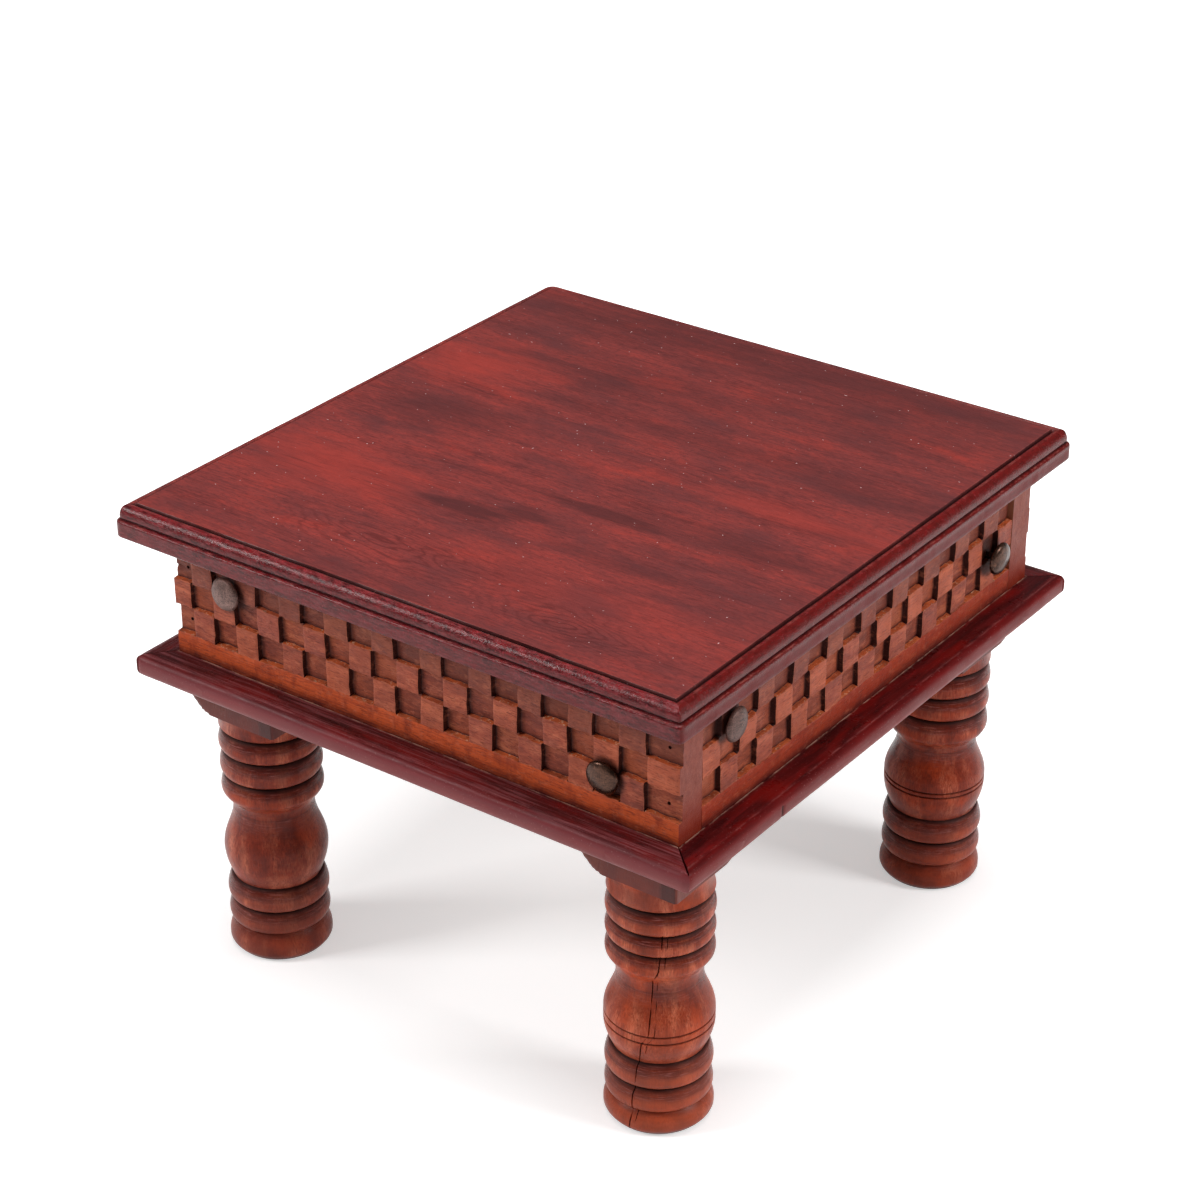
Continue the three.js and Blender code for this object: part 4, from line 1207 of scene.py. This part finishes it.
def make_leg(corner, seed):
    node = f"leg_{corner}"
    low, high = box_of(node)
    axis = ((low + high) / 2)[:2]
    degrees = leg_angles(corner)
    angles = np.radians(degrees)
    block_top = TURNED_HEIGHT + BLOCK_HEIGHT
    corner_reach = STOCK_HALF * math.sqrt(2)
    square = rectangle_radius(angles, *[(-STOCK_HALF, STOCK_HALF)] * 2)
    square = np.minimum(square, corner_reach - BLOCK_ARRIS_CUT)
    post_reaches = [sorted((sign * POST_OUTER, -sign * STOCK_HALF)) for sign in CORNER_SIGNS[corner]]
    post = rectangle_radius(angles, *post_reaches)
    rings, masks = [], []

    def turn_of(height):
        """How far the ring is turned so that its crack follows the path, in degrees."""
        levels, directions = zip(*CRACK_PATH)
        turn = np.interp(height, levels, directions) - CRACK_START
        return turn * float(np.clip((TURNED_HEIGHT - 4 - height) / 8, 0, 1))

    def add_ring(radius, height, cavity, stain, block_shade=0.0, crack_share=0.0):
        radius = radius + 0 * angles
        crack = np.zeros(len(angles))
        turn = math.radians(turn_of(height)) if corner == "front_right" else 0.0
        if crack_share:
            for offset, base in ((0, 0.95), (CRACK_TWIN, 0.0)):
                hit = np.abs(degrees - CRACK_START - offset) < 0.2
                crack[hit] = crack_share * np.clip(base + 1.3 * noise(71 + offset, 5, height), 0, 1)
            radius = radius - CRACK_DEPTH * crack
        x = axis[0] + radius * np.cos(angles + turn)
        y = axis[1] + radius * np.sin(angles + turn)
        rings.append(np.column_stack([x, y, np.full(len(angles), float(height))]))
        masks.append(np.column_stack(np.broadcast_arrays(cavity + 0 * angles, stain, crack, block_shade)))

    for radius, height, cavity, stain in leg_profile(LEG_SHARES[corner]):
        around = TURNED_RADIUS * np.cos(angles), TURNED_RADIUS * np.sin(angles)
        oval = LEG_OVAL * noise(seed, 30, axis[0] + around[0], around[1], height)
        cracked = (corner == "front_right") * float(np.clip((CRACK_TOP - height) / 6, 0, 1))
        add_ring(radius - LEG_OVAL + oval, height, cavity, stain, 0.0, cracked)

    # The block: a lathe has cut its lower corners, all but one
    shoulder = TURNED_RADIUS - SHOULDER_CUT
    add_ring(shoulder, TURNED_HEIGHT - 1, 0.0, 0.2)
    add_ring(shoulder + 0.4, TURNED_HEIGHT, 0.2, 0.4)
    from_square = np.abs((degrees - SQUARE_CORNER + 180) % 360 - 180)
    turned_share = np.clip((from_square - SQUARE_SPREAD[0]) / SQUARE_SPREAD[1], 0, 1)
    # Painted shade on the block's face beside its square corner, carried by the stain mask
    shaded_end = 0.95 * ((degrees > SQUARE_CORNER - SHADED_END) & (degrees < SQUARE_CORNER - 0.5))
    for place in np.linspace(0, 1, 10):
        pommel = corner_reach - POMMEL_CUT * turned_share * (1 - place ** POMMEL_FULLNESS)
        add_ring(np.minimum(square, pommel), TURNED_HEIGHT + POMMEL_RISE * place, 0.0, shaded_end, 1.0)
    add_ring(square, block_top - 0.3, 0.0, shaded_end, 1.0)
    add_ring(square - 0.3, block_top, 0.0, 0.0, 1.0)
    for height in (block_top, (block_top + high[2]) / 2, high[2]):
        add_ring(post, height, 0.0, 0.0)
    masks = dict(zip(("cavity", "stain", "crack", "block_shade"), np.array(masks).reshape(-1, 4).T))
    material = leg_material(f"leg_wood_{corner}", seed, *LEG_TONES[corner])
    add_piece(f"{node}_turned", np.array(rings), material, node, 38, masks)


# Nails, brads, screws and cleats

def nail_profile(length):
    """[radius, height] from the tip up over the head, whose seat is at height 0."""
    head = NAIL_HEAD_RADIUS
    dome = arc((0, NAIL_EDGE), (head - 0.25, NAIL_RISE - NAIL_EDGE), 0.06, 1, 14)[:-1]
    return np.array([
        (0.3, -length),
        (NAIL_SHANK_RADIUS, NAIL_TIP - length),
        (NAIL_SHANK_RADIUS, 0),
        (head - 1.2, 0.5),
        (head - 0.5, 0),
        (head - 0.1, 0.12),
        (head, 0.45),
        (head - 0.05, 0.8),
        *dome,
        (0.25, NAIL_RISE),
    ])


def make_nail(side, number, seed, materials):
    node = f"dome_nail_{side.name}_{number}"
    (u_low, u_high), (crown, tip), (z_low, z_high) = side.reach(node)
    finish, lean_u, lean_z = NAIL_LOOKS[f"{side.name}_{number}"]
    angles = np.linspace(0, 2 * math.pi, NAIL_SIDES, endpoint=False)
    radius, height = [values[:, None] for values in nail_profile(tip - crown - NAIL_RISE).T]
    on_head = np.clip(radius / NAIL_HEAD_RADIUS, 0, 1) * (height >= 0)
    cos, sin = np.cos(angles)[None, :], np.sin(angles)[None, :]
    uneven = 1 - on_head * 0.012 * (1 + noise(seed, 0.9, cos, sin))
    dent = 0.14 * on_head * (1 - on_head) * 4 * noise(seed + 1, 3, radius * cos, radius * sin)
    u = radius * uneven * cos
    z = radius * uneven * sin
    out = height - np.abs(dent) * (height > 0.5)
    leaning = u * math.radians(lean_u) + z * math.radians(lean_z)
    out = np.minimum(out + on_head * leaning - on_head * 0.35, NAIL_RISE)
    points = side.place((u_low + u_high) / 2 + u, crown + NAIL_RISE - out, (z_low + z_high) / 2 + z)
    add_piece(f"{node}_head", points, materials[finish], node, 50)


def dress(piece, material):
    if not piece.material_slots:
        piece.data.materials.append(material)
    for slot in piece.material_slots:
        slot.material = material


def dress_fasteners_and_cleats():
    """The brads, screws and cleats keep their CAD shapes and get their finishes."""
    steel = metal_material("wire_steel", (70, 66, 64), (120, 116, 112), 0.45, 0.9, 5)
    cleat = cleat_material()
    for name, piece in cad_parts.items():
        if name.startswith(("apron_brad", "moulding_brad", "cleat_screw", "top_screw")):
            dress(piece, steel)
        elif name.startswith("top_cleat"):
            dress(piece, cleat)


# Lights, floor and camera

def add_light(name, place, size, power):
    lamp = bpy.data.lights.new(name, "AREA")
    lamp.shape = "SQUARE"
    lamp.size = size * MM
    lamp.energy = power
    lamp_object = bpy.data.objects.new(name, lamp)
    offset = np.array(place, float) - np.array(LAMP_AIM, float)
    azimuth = math.atan2(offset[0], -offset[1])
    tilt = math.atan2(math.hypot(offset[0], offset[1]), offset[2])
    lamp_object.location = [c * MM for c in place]
    lamp_object.rotation_euler = (tilt, 0, azimuth)
    bpy.context.scene.collection.objects.link(lamp_object)


def floor_material():
    """Paper that the camera, glossy rays and transmission rays see whiter away from the table."""
    shader = Shader("floor_paper")
    path = shader.node("ShaderNodeLightPath", {}).node.outputs
    seen = shader.math("MAXIMUM", path["Is Camera Ray"], path["Is Glossy Ray"])
    seen = shader.math("MAXIMUM", seen, path["Is Transmission Ray"])
    coords = shader.node("ShaderNodeTexCoord", {}, "Object")
    reach = shader.node("ShaderNodeVectorMath", {0: coords}, "Value", operation="LENGTH")
    lift = shader.range(reach, [end * MM for end in FLOOR_LIFT_REACH], FLOOR_LIFT)
    shader.surface.inputs["Emission Color"].default_value = (1, 1, 1, 1)
    shader.feed(shader.surface.inputs["Emission Strength"], shader.times(seen, lift))
    shader.colour = FLOOR_COLOUR
    grit = shader.noise((0.7, 0.7, 0.7))
    return shader.finish(0.9, shader.bump(grit, 0.1, 0.1), Specular_IOR_Level=0.1)


def make_studio():
    scene = bpy.context.scene
    scene.view_settings.view_transform = "Standard"
    world = bpy.data.worlds.new("studio")
    world.use_nodes = True
    background = world.node_tree.nodes["Background"]
    background.inputs["Color"].default_value = (1, 1, 1, 1)
    background.inputs["Strength"].default_value = WORLD_LEVEL
    scene.world = world
    for lamp in LAMPS:
        add_light(*lamp)
    mesh = bpy.data.meshes.new("floor")
    half, level = FLOOR_SIZE / 2 * MM, FLOOR_LEVEL * MM
    corners = [(-half, -half, level), (half, -half, level), (half, half, level), (-half, half, level)]
    mesh.from_pydata(corners, [], [(0, 1, 2, 3)])
    floor = bpy.data.objects.new("floor", mesh)
    scene.collection.objects.link(floor)
    mesh.materials.append(floor_material())


def make_camera():
    camera = bpy.data.cameras.new("camera")
    camera.lens = CAMERA_LENS
    camera.sensor_width = CAMERA_SENSOR
    camera.clip_start = 0.05
    camera.clip_end = 50
    camera_object = bpy.data.objects.new("camera", camera)
    camera_object.location = [c * MM for c in CAMERA_PLACE]
    camera_object.rotation_euler = (math.radians(90 - CAMERA_DOWN), 0, math.radians(CAMERA_AZIMUTH))
    bpy.context.scene.collection.objects.link(camera_object)
    bpy.context.scene.camera = camera_object


make_camera()
make_studio()
make_top()
nail_materials = {
    "dull": metal_material("nail_dull", (84, 60, 54), (140, 108, 100), 0.5, 0.5, 1),
    "bronze": metal_material("nail_bronze", (48, 28, 20), (92, 62, 48), 0.26, 0.75, 2),
    "matte": metal_material("nail_matte", (74, 50, 44), (116, 84, 76), 0.46, 0.5, 3),
}
for index, side in enumerate(SIDES):
    make_apron(side, 40 + 10 * index)
    make_moulding(side, 100 + 10 * index)
    for number in (1, 2):
        make_nail(side, number, 200 + 10 * index + number, nail_materials)
for index, corner in enumerate(LEG_SHARES):
    make_leg(corner, 300 + 10 * index)
dress_fasteners_and_cleats()
